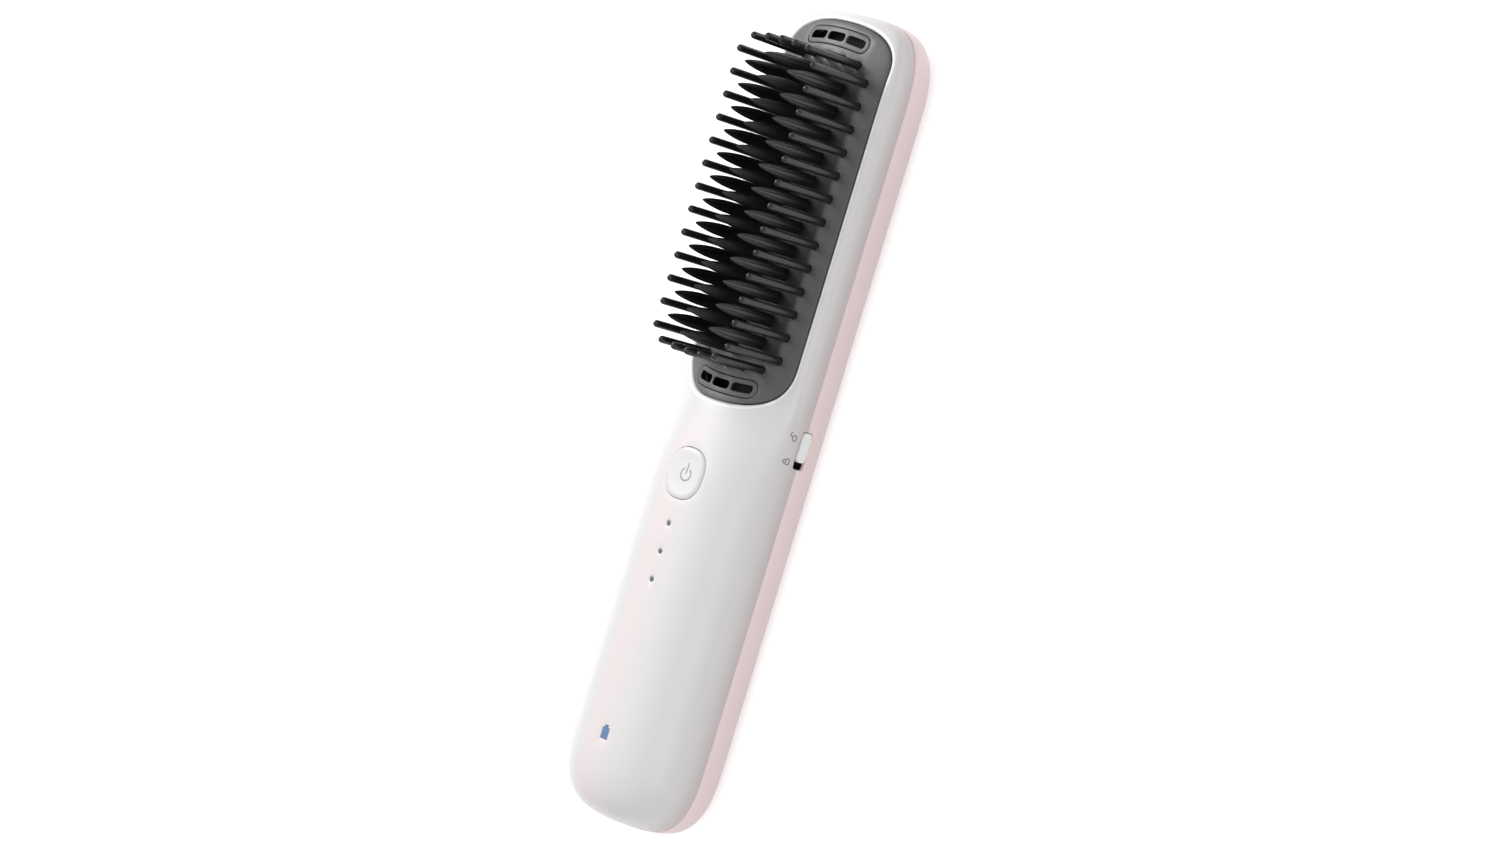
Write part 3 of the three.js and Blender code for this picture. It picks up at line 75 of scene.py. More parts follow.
def makeCamera():
    side, nod, roll = (math.radians(view[key]) for key in ("sideAngle", "nod", "roll"))
    ahead = Vector((0, math.sin(side), -math.cos(side)))
    across = Vector((0, -math.cos(side), -math.sin(side)))
    along = Vector((1, 0, 0))
    look = ahead * math.cos(nod) + along * math.sin(nod)
    tilted = along * math.cos(nod) - ahead * math.sin(nod)
    right = across * math.cos(roll) + tilted * math.sin(roll)
    up = tilted * math.cos(roll) - across * math.sin(roll)
    place = -look * view["distance"] + right * view["slideRight"] + up * view["slideUp"]
    place.z += view["aimHeight"]
    data = bpy.data.cameras.new("camera")
    data.lens = view["lens"]
    data.sensor_width = 36
    data.clip_start = 0.01
    axes = Matrix((right, up, -look)).transposed()
    scene.camera = addObject("camera", data)
    scene.camera.matrix_world = Matrix.Translation(place) @ axes.to_4x4()


makeCamera()
print("camera set")

body = {
    "length": 222.2,
    "width": 47.6,
    "wall": 2.0,
    "partingHeight": 11.5,
    "landDepth": 0.15,  # how far the rounded back is planed off to lie flat
    "handleRise": 16.3,
    "headRise": 11.3,
    "headShoulder": 8.0,
    "handleSquareness": 2.2,
    "headSquareness": 7.0,
    "backSquareness": 3.4,
    "headEndDepth": 27.0,
    "headEndSquareness": 3.44,
    "buttEndDepth": 24.7,
    "buttEndSquareness": 3.2,
    "swellTop": 38.1,  # where the crest begins to climb towards the handle
    "swellBottom": -24.1,
    "roundingTop": 10.2,  # where the square sides begin to round off
}
halfLength = body["length"] / 2
halfWidth = body["width"] / 2
parting = body["partingHeight"]


def smooth(value):
    value = np.clip(value, 0, 1)
    return value * value * (3 - 2 * value)


def endScale(x, inset=0.0):
    depth = np.where(x > 0, body["headEndDepth"], body["buttEndDepth"]) - inset
    power = np.where(x > 0, body["headEndSquareness"], body["buttEndSquareness"])
    reach = np.clip((halfLength - inset - np.abs(x)) / depth, 0, 1)
    return (1 - (1 - reach) ** power) ** (1 / power)


def sectionAt(x):
    crest = smooth((body["swellTop"] - x) / (body["swellTop"] - body["swellBottom"]))
    rounding = smooth((body["roundingTop"] - x) / (body["roundingTop"] - body["swellBottom"]))
    crest = body["headRise"] + (body["handleRise"] - body["headRise"]) * crest
    shoulder = body["headShoulder"] + (body["handleRise"] - body["headShoulder"]) * rounding
    roundness = 1 / body["headSquareness"]
    roundness = roundness + (1 / body["handleSquareness"] - roundness) * rounding ** 0.5
    return shoulder, crest - shoulder, 1 / roundness


def frontRise(x, share, inset=0.0):
    shoulder, crown, power = sectionAt(x)
    side = np.maximum(0, 1 - share ** power) ** (1 / power)
    return (shoulder - inset) * side + crown * (1 - share * share) ** 2


def frontZ(x, y, inset=0.0):
    scale = endScale(x, inset)
    share = np.minimum(1, np.abs(y) / np.maximum(1e-6, (halfWidth - inset) * scale))
    return parting + scale * frontRise(x, share, inset)


def makeMesh(name, solid, sharpAngle=38):
    mesh = bpy.data.meshes.new(name)
    mesh.from_pydata((np.asarray(solid.points, float) * mm).tolist(), [], solid.faces)
    tidyMesh(mesh, sharpAngle)
    return addObject(name, mesh)


def tidyMesh(mesh, sharpAngle=38):
    work = bmesh.new()
    work.from_mesh(mesh)
    bmesh.ops.remove_doubles(work, verts=work.verts, dist=2e-6)
    bmesh.ops.dissolve_degenerate(work, edges=work.edges, dist=1e-7)
    bmesh.ops.recalc_face_normals(work, faces=work.faces)
    for face in work.faces:
        face.smooth = True
    work.to_mesh(mesh)
    work.free()
    mesh.set_sharp_from_angle(angle=math.radians(sharpAngle))


# Turns a piece with its modifier into a plain mesh
def makePlain(piece):
    graph = bpy.context.evaluated_depsgraph_get()
    mesh = bpy.data.meshes.new_from_object(piece.evaluated_get(graph))
    piece.modifiers.clear()
    piece.data = mesh


def insideLoop(points, loop):
    x, y = points[:, 0][:, None], points[:, 1][:, None]
    ax, ay = loop[:, 0][None], loop[:, 1][None]
    bx, by = np.roll(ax, -1, 1), np.roll(ay, -1, 1)
    crosses = (ay > y) != (by > y)
    rise = np.where(by == ay, 1e-12, by - ay)
    return (np.where(crosses, (bx - ax) * (y - ay) / rise + ax > x, False).sum(1) % 2) == 1


# Which points lie farther than the gap from every side of every loop
def awayFrom(points, loops, gap):
    keep = np.ones(len(points), bool)
    for loop in loops:
        side = np.roll(loop, -1, 0) - loop
        reach = points[:, None] - loop[None]
        along = np.clip((reach * side).sum(2) / np.maximum(1e-12, (side * side).sum(1)), 0, 1)
        keep &= ((reach - along[:, :, None] * side) ** 2).sum(2).min(1) > gap * gap
    return keep


# Collects the points and faces of one closed body
class Solid:
    def __init__(self):
        self.points = []
        self.faces = []

    def ring(self, points):
        start = len(self.points)
        self.points += [tuple(p) for p in points]
        return list(range(start, len(self.points)))

    def flatRing(self, outline, lift):
        return self.ring(np.column_stack([outline, lift(outline[:, 0], outline[:, 1])]))

    # An outline in x and z, set at one y
    def sideRing(self, outline, y):
        return self.ring(np.insert(outline, 1, y, axis=1))

    def strip(self, upper, lower):
        for i in range(len(upper)):
            j = (i + 1) % len(upper)
            self.faces.append((upper[i], upper[j], lower[j], lower[i]))

    def tube(self, rings):
        for upper, lower in zip(rings, rings[1:]):
            self.strip(upper, lower)

    def closedTube(self, rings):
        self.tube(rings)
        self.faces += [tuple(rings[0]), tuple(reversed(rings[-1]))]

    # A sheet between an outer ring and the rings of its holes, with points spread over it
    def sheet(self, outer, holes, spread, lift, gap):
        flat = np.array(self.points)[:, :2]
        loops = [flat[ring] for ring in [outer] + holes]
        keep = insideLoop(spread, loops[0]) & awayFrom(spread, loops, gap)
        for loop in loops[1:]:
            keep &= ~insideLoop(spread, loop)
        spread = spread[keep]
        added = self.ring(np.column_stack([spread, lift(spread[:, 0], spread[:, 1])]))
        names, edges = [], []
        for ring in [outer] + holes:
            first = len(names)
            names += ring
            edges += [(first + i, first + (i + 1) % len(ring)) for i in range(len(ring))]
        names += added
        places = np.array(self.points)[names, :2]
        result = delaunay_2d_cdt([Vector(p) for p in places], edges, [], 0, 1e-6, True)
        spots = np.array([tuple(p) for p in result[0]])
        source = [names[ids[0]] if ids else None for ids in result[3]]
        corners = np.array([spots[list(face)].mean(0) for face in result[2]])
        good = insideLoop(corners, loops[0])
        for loop in loops[1:]:
            good &= ~insideLoop(corners, loop)
        for face, kept in zip(result[2], good):
            ids = [source[i] for i in face]
            if kept and None not in ids:
                self.faces.append(tuple(ids))

    def box(self, low, high):
        corners = [(x, y, z) for x in (low[0], high[0]) for y in (low[1], high[1]) for z in (low[2], high[2])]
        at = self.ring(corners)
        for quad in ((0, 1, 3, 2), (4, 6, 7, 5), (0, 4, 5, 1), (2, 3, 7, 6), (0, 2, 6, 4), (1, 5, 7, 3)):
            self.faces.append(tuple(at[i] for i in quad))

    def post(self, x, y, radius, low, high, sides=24):
        circle = superOval(radius, radius, 2, sides, x, y)
        self.closedTube([self.ring(np.column_stack([circle, np.full(sides, z)])) for z in (high, low)])


def superOval(halfX, halfY, squareness, count, x=0.0, y=0.0):
    turn = np.arange(count) / count * 2 * np.pi
    c, s = np.cos(turn), np.sin(turn)
    return np.column_stack([
        x + halfX * np.sign(c) * np.abs(c) ** (2 / squareness),
        y + halfY * np.sign(s) * np.abs(s) ** (2 / squareness),
    ])


# Rows of a rounded edge, as (offset, depth). Side is 1 for a hole and -1 for an outline.
def edgeRows(radius, steps=4, side=1, offset=0.0, depth=0.0):
    turn = np.linspace(0, np.pi / 2, steps + 1)
    return [(offset + side * radius * (1 - math.sin(t)), depth + radius * (1 - math.cos(t))) for t in turn]


# A cover that follows the body's front. The outline and the holes are functions of an offset,
# and each comes with its rows of (offset, depth below the body's front) from top to bottom.
# A dish is a function of x and y that hollows the cover further.
def makePlate(name, outline, rows, holes=(), spacing=2.0, gap=0.5, dish=lambda x, y: 0.0):
    solid = Solid()

    def ringAt(shape, offset, depth):
        return solid.flatRing(shape(offset), lambda x, y: frontZ(x, y) - depth - dish(x, y))

    outer = [ringAt(outline, *row) for row in rows]
    inner = [[ringAt(shape, *row) for row in holeRows] for shape, holeRows in holes]
    for rings in [outer] + inner:
        solid.tube(rings)
    wide = outline(rows[0][0])
    low, high = wide.min(0), wide.max(0)
    steps = np.maximum(2, np.ceil((high - low) / spacing)).astype(int)
    lines = [np.linspace(low[k], high[k], steps[k] + 1) for k in (0, 1)]
    grid = np.stack(np.meshgrid(*lines), -1).reshape(-1, 2)
    for end in (0, -1):
        depth = rows[end][1]
        solid.sheet(outer[end], [rings[end] for rings in inner], grid,
                    lambda x, y: frontZ(x, y) - depth - dish(x, y), gap)
    return makeMesh(name, solid)


def colour(hexText):
    parts = [int(hexText[i:i + 2], 16) / 255 for i in (1, 3, 5)]
    return tuple(c / 12.92 if c <= 0.04045 else ((c + 0.055) / 1.055) ** 2.4 for c in parts) + (1.0,)


def addNode(tree, kind, inputs=None, **settings):
    made = tree.nodes.new(kind)
    for key, value in settings.items():
        setattr(made, key, value)
    for key, value in (inputs or {}).items():
        socket = made.inputs[key]
        if isinstance(value, bpy.types.NodeSocket):
            tree.links.new(value, socket)
        else:
            socket.default_value = value
    return made


def clearTree(owner):
    owner.use_nodes = True
    owner.node_tree.nodes.clear()
    return owner.node_tree


texture = {"cloudSize": 30, "roughnessSpread": 0.04}  # the size of the mottling is in grains


# One finish: its colour mottled a little, and a fine grain. grain is the size of the moulded or brushed
# texture and depth its relief, both in millimetres. Each painted light mark is a colour of painted shade or
# painted reflection with the spans that it fades in over: an axis, where it starts and where it is full.
def makeFinish(name, base, mottle, roughness, metallic=0.0, ior=1.5, grain=0.4, depth=0.01,
               coat=0.0, coatRoughness=0.1, stretch=(1, 1, 1), paintedLightMarks=()):
    material = bpy.data.materials.new(name)
    tree = clearTree(material)
    place = addNode(tree, "ShaderNodeTexCoord").outputs["Object"]
    mapped = addNode(tree, "ShaderNodeMapping", {"Vector": place, "Scale": stretch}).outputs["Vector"]
    fineScale = 1 / (grain * mm)
    cloudScale = fineScale / texture["cloudSize"]
    cloud = addNode(tree, "ShaderNodeTexNoise", {"Vector": mapped, "Scale": cloudScale, "Detail": 3.0})
    fine = addNode(tree, "ShaderNodeTexNoise", {"Vector": mapped, "Scale": fineScale, "Detail": 2.0})
    axis = addNode(tree, "ShaderNodeSeparateXYZ", {"Vector": place}).outputs

    def blend(share, first, hexText):
        return addNode(tree, "ShaderNodeMix", {0: share, 6: first, 7: colour(hexText)},
                       data_type="RGBA").outputs["Result"]

    shade = blend(cloud.outputs["Fac"], colour(base), mottle)
    for hexText, spans in paintedLightMarks:
        fades = [addNode(tree, "ShaderNodeMapRange", {
            "Value": axis[key], "From Min": start * mm, "From Max": full * mm},
            interpolation_type="SMOOTHSTEP").outputs[0] for key, start, full in spans]
        share = fades[0]
        for fade in fades[1:]:
            share = addNode(tree, "ShaderNodeMath", {0: share, 1: fade}, operation="MULTIPLY").outputs[0]
        shade = blend(share, shade, hexText)
    spread = texture["roughnessSpread"]
    rough = addNode(tree, "ShaderNodeMapRange", {
        "Value": fine.outputs["Fac"], "To Min": roughness - spread, "To Max": roughness + spread})
    bump = addNode(tree, "ShaderNodeBump", {
        "Height": fine.outputs["Fac"], "Distance": depth * mm, "Strength": 1.0})
    shader = addNode(tree, "ShaderNodeBsdfPrincipled", {
        "Base Color": shade, "Roughness": rough.outputs["Result"], "Normal": bump.outputs["Normal"],
        "Metallic": metallic, "IOR": ior, "Coat Weight": coat, "Coat Roughness": coatRoughness})
    addNode(tree, "ShaderNodeOutputMaterial", {"Surface": shader.outputs["BSDF"]})
    return material


finishes = {
    # white ABS from a lightly spark-eroded mould: soft sheen, with painted shade greying it towards the joint
    # and a painted pink reflection along the crest and down the left side of the handle
    "white_shell": makeFinish("whiteMouldedAbs", "#ebe9e9", "#e7e5e6", 0.36, ior=1.53, grain=0.35,
                              depth=0.004, paintedLightMarks=[
                                  # painted shade, greyer and a little pink towards the joint
                                  ("#d3cacb", [("Z", 19.0, 12.0)]),
                                  # painted pink reflection on the handle's crest and left side
                                  ("#f0e6e7", [("Y", -6.0, 3.0), ("Y", 12.0, 4.0), ("X", 4.0, -10.0)])]),
    # pale pink ABS from the same mould: a little less sheen
    "pink_cover": makeFinish("palePinkMouldedAbs", "#fce8e7", "#f9e4e4", 0.4, ior=1.53, grain=0.35,
                             depth=0.004),
    # grey PBT with fine eroded texture: broad dull sheen that goes pale at grazing angles. Between the teeth
    # it is painted near black: painted shade, where the teeth keep out the light.
    "grey_bezel": makeFinish("greyTexturedPbt", "#5f5f60", "#59595a", 0.44, ior=1.56, grain=0.3, depth=0.006,
                             # painted shade between the teeth
                             paintedLightMarks=[("#0e0e0f", [("X", 15.2, 17.2), ("X", 96.8, 94.8),
                                                   ("Y", -15.3, -13.3), ("Y", 15.3, 13.3)])]),
    # satin black nylon: small round glints on the tips
    "bristle": makeFinish("blackSatinNylon", "#222225", "#1c1c1f", 0.27, ior=1.53, grain=0.3, depth=0.002),
    # die-cast aluminium under a satin black ceramic coat: near black with a silky streak along each blade
    "comb": makeFinish("blackCeramicCoatedAluminium", "#0f0f11", "#0b0b0d", 0.32, ior=1.6, grain=0.5,
                       depth=0.001, coat=0.25, coatRoughness=0.22),
    # sintered alumina: chalky off-white
    "ceramic": makeFinish("sinteredAlumina", "#e4dfd2", "#d9d3c4", 0.7, ior=1.76, grain=0.2, depth=0.01),
    # pressed mica sheet: amber with pale flakes
    "mica": makeFinish("pressedMicaSheet", "#c09c58", "#d8bd84", 0.5, ior=1.58, grain=0.8, depth=0.01),
    # nickel-plated steel: grey mirror softened by fine brushing
    "steel": makeFinish("nickelPlatedSteel", "#b9bbbf", "#aaacb1", 0.28, metallic=1.0, grain=0.12,
                        depth=0.003, stretch=(0.1, 1, 1)),
    # glass-filled plastic: dull near-black with a dry, slightly streaked skin
    "frame": makeFinish("glassFilledPolyamide", "#111113", "#0c0c0e", 0.62, ior=1.55, grain=0.5, depth=0.012),
    # plain black moulded plastic of the switches and sockets
    "black_plastic": makeFinish("blackMouldedPbt", "#17171a", "#131316", 0.45, ior=1.55, grain=0.3,
                                depth=0.004),
    # silicone insulation: soft dull red
    "lead": makeFinish("redSiliconeInsulation", "#9c2524", "#8c1f1e", 0.55, ior=1.42, grain=0.3, depth=0.003),
    # natural nylon of the wire connectors: waxy cream
    "connector": makeFinish("naturalNylon", "#dcd8ca", "#d3cebd", 0.42, ior=1.53, grain=0.4, depth=0.003),
    # glass-epoxy board under green solder mask: weave shows faintly through the gloss
    "board": makeFinish("greenSolderMask", "#165037", "#12462f", 0.32, ior=1.52, grain=0.5, depth=0.004,
                        coat=0.3),
    # heat-shrunk sleeve over the steel can: tight glossy blue film
    "cell": makeFinish("blueShrinkSleeve", "#2e6b9e", "#285f8e", 0.34, ior=1.57, grain=1.2, depth=0.006),
    # clear resin over the light-emitting chip: pale yellow
    "light_chip": makeFinish("clearEpoxyResin", "#e6e0bf", "#ded7b0", 0.2, ior=1.54, grain=0.3, depth=0.002),
    # smoked acrylic peg, unlit: grey-blue and glassy
    "light_guide": makeFinish("smokedAcrylic", "#70757d", "#646a73", 0.14, ior=1.49, grain=0.5, depth=0.001,
                              coat=0.5),
    # blue translucent acrylic of the battery mark
    "battery_guide": makeFinish("blueTranslucentAcrylic", "#7090ba", "#6786b3", 0.2, ior=1.49, grain=0.5,
                                depth=0.001, coat=0.4),
    # pad-printed ink: flat mid grey
    "ink": makeFinish("greyPadPrintInk", "#8b8c8e", "#838486", 0.55, grain=0.2, depth=0.001),
    # the same ink printed thinly on the button: pale grey
    "pale_ink": makeFinish("paleGreyPadPrintInk", "#a2a2a1", "#9b9b9a", 0.55, grain=0.2, depth=0.001),
    # white ABS of the slider and of the opening's edge, painted brighter than the shell as a painted
    # highlight
    "painted_highlight": makeFinish("whiteAbsPaintedHighlight", "#fdfdfd", "#fafafa", 0.3, ior=1.53, grain=0.35, depth=0.001),
    # white ABS of the button, a shade greyer than the shell
    "button_cap": makeFinish("whiteSatinAbs", "#e9e9e7", "#e5e5e3", 0.4, ior=1.53, grain=0.35, depth=0.002),
}


def finishPiece(piece, slot, finish=None):
    piece.data.materials.clear()
    piece.data.materials.append(finishes[finish or slot])


# Gives some faces of a piece a second finish. Where is a test of the face centres in millimetres.
def finishFaces(piece, finish, where):
    centres = np.array([tuple(face.center) for face in piece.data.polygons]) / mm
    piece.data.materials.append(finishes[finish])
    piece.data.polygons.foreach_set("material_index", where(centres).astype(np.int32))


print("finishes made")

shell = {
    "endSteps": 18,
    "endCrowding": 1.6,  # stations lie closer together towards the tips
    "stationPitch": 2.4,
    # distance from the joint and inset: both halves tuck in there
    "frontRim": [(0.02, 0.30), (0.3, 0.27), (0.7, 0.19), (1.2, 0.09), (1.6, 0.03), (2.0, 0.0)],
    "backRim": [(0.02, 0.30), (0.05, 0.2), (0.14, 0.1), (0.3, 0.03), (0.6, 0.0), (2.0, 0.0)],
    "rimLimit": 0.9,  # share of the height that the rows next to the joint may take at the tips
    "rowStep": 0.01,  # least height between the rows above them
    "frontAngles": [9, 14, 20, 26, 32, 38],
    "crownSteps": 12,
    "backAngles": [8, 14, 21, 28, 35, 42, 50, 58, 66, 74, 82, 90],
    "openingRound": 1.1,
    "buttonRound": 0.15,
    "buttonGap": 0.16,
    # the sheet with the holes: its butt end, its head end outside and inside, and how many angles it takes in
    "sheetButt": -95.0,
    "sheetHead": (109.6, 108.65),
    "sheetAngles": (2, 3),
    "sheetGap": 0.8,
    "innerReach": 0.955,  # share of the half width that the holes' inner rings may take
    "lip": [(2.3, -2.5), (2.3, 1.8), (2.5, 1.8), (3.3, 1.8), (3.3, -2.5)],  # inset, height above the joint
}
bezel = {
    "headX": 107.8,
    "handleX": 3.6,
    "width": 40.6,
    "headDepth": 11.0,
    "handleDepth": 14.0,
    "squareness": 2.45,
    "sink": 0.35,
    "wall": 1.8,
    "gap": 0.3,
    "ledge": 2.0,
    "ledgeThickness": 1.5,
    "ledgeRoot": 0.4,
    "edgeRound": 0.25,
}
button = {
    "x": -17.35,
    "width": 13.8,
    "squareness": 2.5,
    "proud": 0.35,
    "wall": 1.8,
    "skirt": 1.2,
    "flange": 0.8,
    "flangeHeight": 0.6,
    "stemRadius": 1.6,
    "edgeWidth": 1.1,
    "edgeDrop": 0.45,
    "dish": 0.32,  # how deep the cap's face is hollowed for the thumb
}
lights = {
    "places": [-31.05, -38.72, -46.39],
    "holeRadius": 0.8,
    "holeRound": 0.12,
    "lensRadius": 0.72,
    "dome": [(-0.3, 0.02), (-0.12, 0.05), (0.0, 0.12), (0.0, 3.4)],  # offset, depth below the shell's front
    "stripTop": 2.5,
    "stripUnder": 3.1,
}
battery = {
    "x": -88.4,
    "length": 3.6,
    "width": 2.7,
    "nub": 0.7,
    "gap": 0.1,
    "holeRound": 0.08,
    "rows": [(-0.1, 0.06), (0.0, 0.14), (0.0, 2.3), (1.3, 2.3), (1.3, 3.1)],  # offset, depth
}
slider = {
    "slotHead": 2.25,
    "slotButt": -7.9,
    "slotHalfHeight": 1.85,
    "x": -1.9,
    "length": 8.0,
    "height": 3.1,
    "squareness": 4.5,
    "proud": 0.7,
    "edge": 0.6,
    "wallGap": 0.6,
    "flange": 1.0,
    "prongX": 1.7,
    "prongHalfLength": 0.6,
    "prongHalfHeight": 1.2,
    "slotDepth": 4.2,
    "clear": 5.0,  # how far the cut starts outside
    "slotSquareness": 7,
    # the black liner that stands in for the slot's shade
    "shadeLiner": [(-0.02, 0.8), (-0.14, 0.8), (-0.14, 3.9), (-0.02, 3.9)],  # offset, depth in from the side
}
socket = {"width": 8.94, "height": 3.26, "gap": 0.3, "holeEndX": -98.55, "clear": 2.0}


def bezelOutline(offset, archSteps=36, sideSteps=34):
    turn = np.linspace(-np.pi / 2, np.pi / 2, archSteps + 1)
    power = 2 / bezel["squareness"]
    along = np.abs(np.cos(turn)) ** power
    across = np.sign(np.sin(turn)) * np.abs(np.sin(turn)) ** power * (bezel["width"] / 2 + offset)
    along[0] = along[-1] = 0
    headStart = bezel["headX"] - bezel["headDepth"]
    handleStart = bezel["handleX"] + bezel["handleDepth"]
    head = np.column_stack([headStart + (bezel["headDepth"] + offset) * along, across])
    handle = np.column_stack([handleStart - (bezel["handleDepth"] + offset) * along[::-1], across[::-1]])
    step = np.linspace(0, 1, sideSteps + 1)[1:-1, None]
    left = head[-1] + (handle[0] - head[-1]) * step
    right = handle[-1] + (head[0] - handle[-1]) * step
    return np.vstack([head, left, handle, right])


def buttonOutline(offset):
    half = button["width"] / 2 + offset
    return superOval(half, half, button["squareness"], 72, button["x"])


def batteryOutline(offset):
    half = battery["width"] / 2 + offset
    nub = battery["width"] / 4 + offset
    back = battery["x"] - battery["length"] / 2 - offset
    front = battery["x"] + battery["length"] / 2 + offset
    step = front - battery["nub"]
    corners = np.array([(back, -half), (step, -half), (step, -nub), (front, -nub),
                        (front, nub), (step, nub), (step, half), (back, half)])
    points = []
    for a, b, count in zip(corners, np.roll(corners, -1, 0), (8, 2, 2, 4, 2, 2, 8, 8)):
        points += [a + (b - a) * i / count for i in range(count)]
    return np.array(points)


def roundHole(x, y, radius, count=28):
    return lambda offset: superOval(radius + offset, radius + offset, 2, count, x, y)


# Stations along the body for a depth below its surface, from the butt end to the head
def stationsAt(inset):
    def end(depth, power):
        turn = (np.arange(1, shell["endSteps"] + 1) / shell["endSteps"]) ** shell["endCrowding"] * np.pi / 2
        return halfLength - inset - (depth - inset) * (1 - np.cos(turn) ** (2 / power))

    butt = -end(body["buttEndDepth"], body["buttEndSquareness"])
    head = end(body["headEndDepth"], body["headEndSquareness"])[::-1]
    count = int((head[0] - butt[-1]) / shell["stationPitch"])
    return np.concatenate([butt, np.linspace(butt[-1], head[0], count + 1)[1:-1], head])


# The rows next to the joint. Only the outside is tucked in.
def rimRows(rim, inset, rise, power):
    x = stationsAt(inset)
    scale = endScale(x, inset)
    rows = []
    for height, pull in rim:
        within = inset + (pull if inset == 0 else 0)
        climb = np.minimum(shell["rimLimit"], height / rise / scale)
        share = np.maximum(0, 1 - climb ** power) ** (1 / power)
        rows.append((stationsAt(within), scale * (halfWidth - within) * share, height + 0 * x))
    return rows


# Rows of one station from the rim to the crest, as (x, y, z) on the left side
def frontRows(inset):
    x = stationsAt(inset)
    scale = endScale(x, inset)
    shoulder, crown, power = sectionAt(x)
    rows = rimRows(shell["frontRim"], inset, shoulder, power)
    shares = [np.cos(math.radians(a)) ** (2 / power) for a in shell["frontAngles"]]
    steps = shell["crownSteps"]
    shares += [shares[-1] * (1 - i / steps) for i in range(1, steps + 1)]
    floor = shell["frontRim"][-1][0]
    for i, share in enumerate(shares):
        z = np.maximum(scale * frontRise(x, share, inset), floor + shell["rowStep"] * (i + 1))
        rows.append((x, scale * (halfWidth - inset) * share, z))
    return np.array([[x, y, parting + z] for x, y, z in rows]).transpose(2, 0, 1)


def backRows(inset):
    x = stationsAt(inset)
    scale = endScale(x, inset)
    power = body["backSquareness"]
    fall = parting + body["landDepth"] - inset
    rows = rimRows(shell["backRim"], inset, fall, power)
    floor = shell["backRim"][-1][0]
    deepest = parting if inset == 0 else fall
    for i, angle in enumerate(shell["backAngles"]):
        turn = math.radians(angle)
        share = max(0.0, math.cos(turn)) ** (2 / power) if angle < 90 else 0.0
        z = np.maximum(scale * fall * math.sin(turn) ** (2 / power), floor + shell["rowStep"] * (i + 1))
        rows.append((x, scale * (halfWidth - inset) * share, np.minimum(z, deepest)))
    return np.array([[x, y, parting - z] for x, y, z in rows]).transpose(2, 0, 1)


# Skins the rows of one half of the body and returns its rim ring. With an opening, the middle of
# the sheet is triangulated round the holes instead.
def skin(solid, rows, opening=None):
    stations, half, _ = rows.shape
    across = 2 * half - 1
    grid = np.empty((stations, across), int)
    for i in range(stations):
        right = rows[i] * (1, -1, 1)
        grid[i] = solid.ring(np.vstack([right, rows[i][::-1][1:]]))
    first, last, row = (opening[key] for key in ("first", "last", "row")) if opening else (0, 0, 0)
    for i in range(stations - 1):
        for j in range(across - 1):
            if first <= i < last and row <= j < across - 1 - row:
                continue
            solid.faces.append((grid[i, j], grid[i + 1, j], grid[i + 1, j + 1], grid[i, j + 1]))
    for i, tip in ((0, -1), (stations - 1, 1)):
        middle = solid.ring([rows[i].mean(0) * (1, 0, 1)])[0]
        line = list(grid[i])
        for a, b in zip(line, line[1:] + line[:1]):
            solid.faces.append((middle, a, b) if tip > 0 else (middle, b, a))
    if opening:
        a, b = row, across - 1 - row
        outer = [grid[i, a] for i in range(first, last)] + [grid[last, j] for j in range(a, b)]
        outer += [grid[i, b] for i in range(last, first, -1)] + [grid[first, j] for j in range(b, a, -1)]
        inside = grid[first + 1:last, a + 1:b].ravel()
        spread = np.array(solid.points)[inside][:, :2]
        solid.sheet([int(i) for i in outer], opening["holes"], spread, opening["lift"], shell["sheetGap"])
    return [int(i) for i in grid[:, 0]] + [int(i) for i in grid[::-1, -1]]


def makeFrontShell():
    solid = Solid()
    wall = body["wall"]

    def ringAt(shape, offset, depth):
        return solid.flatRing(shape(offset), lambda x, y: frontZ(x, y) - depth)

    # on the inside of the wall, kept off its steep sides
    def innerRing(shape, offset):
        flat = shape(offset)
        reach = shell["innerReach"] * (halfWidth - wall) * endScale(flat[:, 0], wall)
        flat[:, 1] = np.clip(flat[:, 1], -reach, reach)
        return solid.flatRing(flat, lambda x, y: frontZ(x, y, wall))

    gap = bezel["gap"]
    ledgeTop = bezel["sink"] + bezel["wall"] + gap
    ledgeUnder = ledgeTop + bezel["ledgeThickness"]
    rows = edgeRows(shell["openingRound"], offset=gap)
    ledge, root = bezel["ledge"], bezel["ledgeRoot"]
    rows += [(gap, ledgeTop), (-ledge, ledgeTop), (-ledge, ledgeUnder), (root, ledgeUnder)]
    holes = []
    for shape, shapeRows, innerOffset in (
        (bezelOutline, rows, root),
        (buttonOutline, edgeRows(shell["buttonRound"], 3, offset=shell["buttonGap"]), gap),
        (batteryOutline, edgeRows(battery["holeRound"], 2, offset=battery["gap"]), battery["gap"]),
        *[(roundHole(x, 0, lights["holeRadius"]), edgeRows(lights["holeRound"], 2), 0.0)
          for x in lights["places"]],
    ):
        rings = [ringAt(shape, *row) for row in shapeRows] + [innerRing(shape, innerOffset)]
        solid.tube(rings)
        holes.append((rings[0], rings[-1]))

    def skinAt(side, inset):
        first, last = np.searchsorted(stationsAt(inset), (shell["sheetButt"], shell["sheetHead"][side]))
        row = len(shell["frontRim"]) + len(shell["frontAngles"]) - shell["sheetAngles"][side]
        return skin(solid, frontRows(inset), {
            "first": first, "last": last, "row": row, "holes": [pair[side] for pair in holes],
            "lift": lambda x, y: frontZ(x, y, inset)})

    solid.strip(skinAt(0, 0.0), skinAt(1, wall))
    return makeMesh("frontShell", solid)


def makeRearCover():
    solid = Solid()
    solid.strip(skin(solid, backRows(0.0)), skin(solid, backRows(body["wall"])))
    return makeMesh("rearCover", solid)


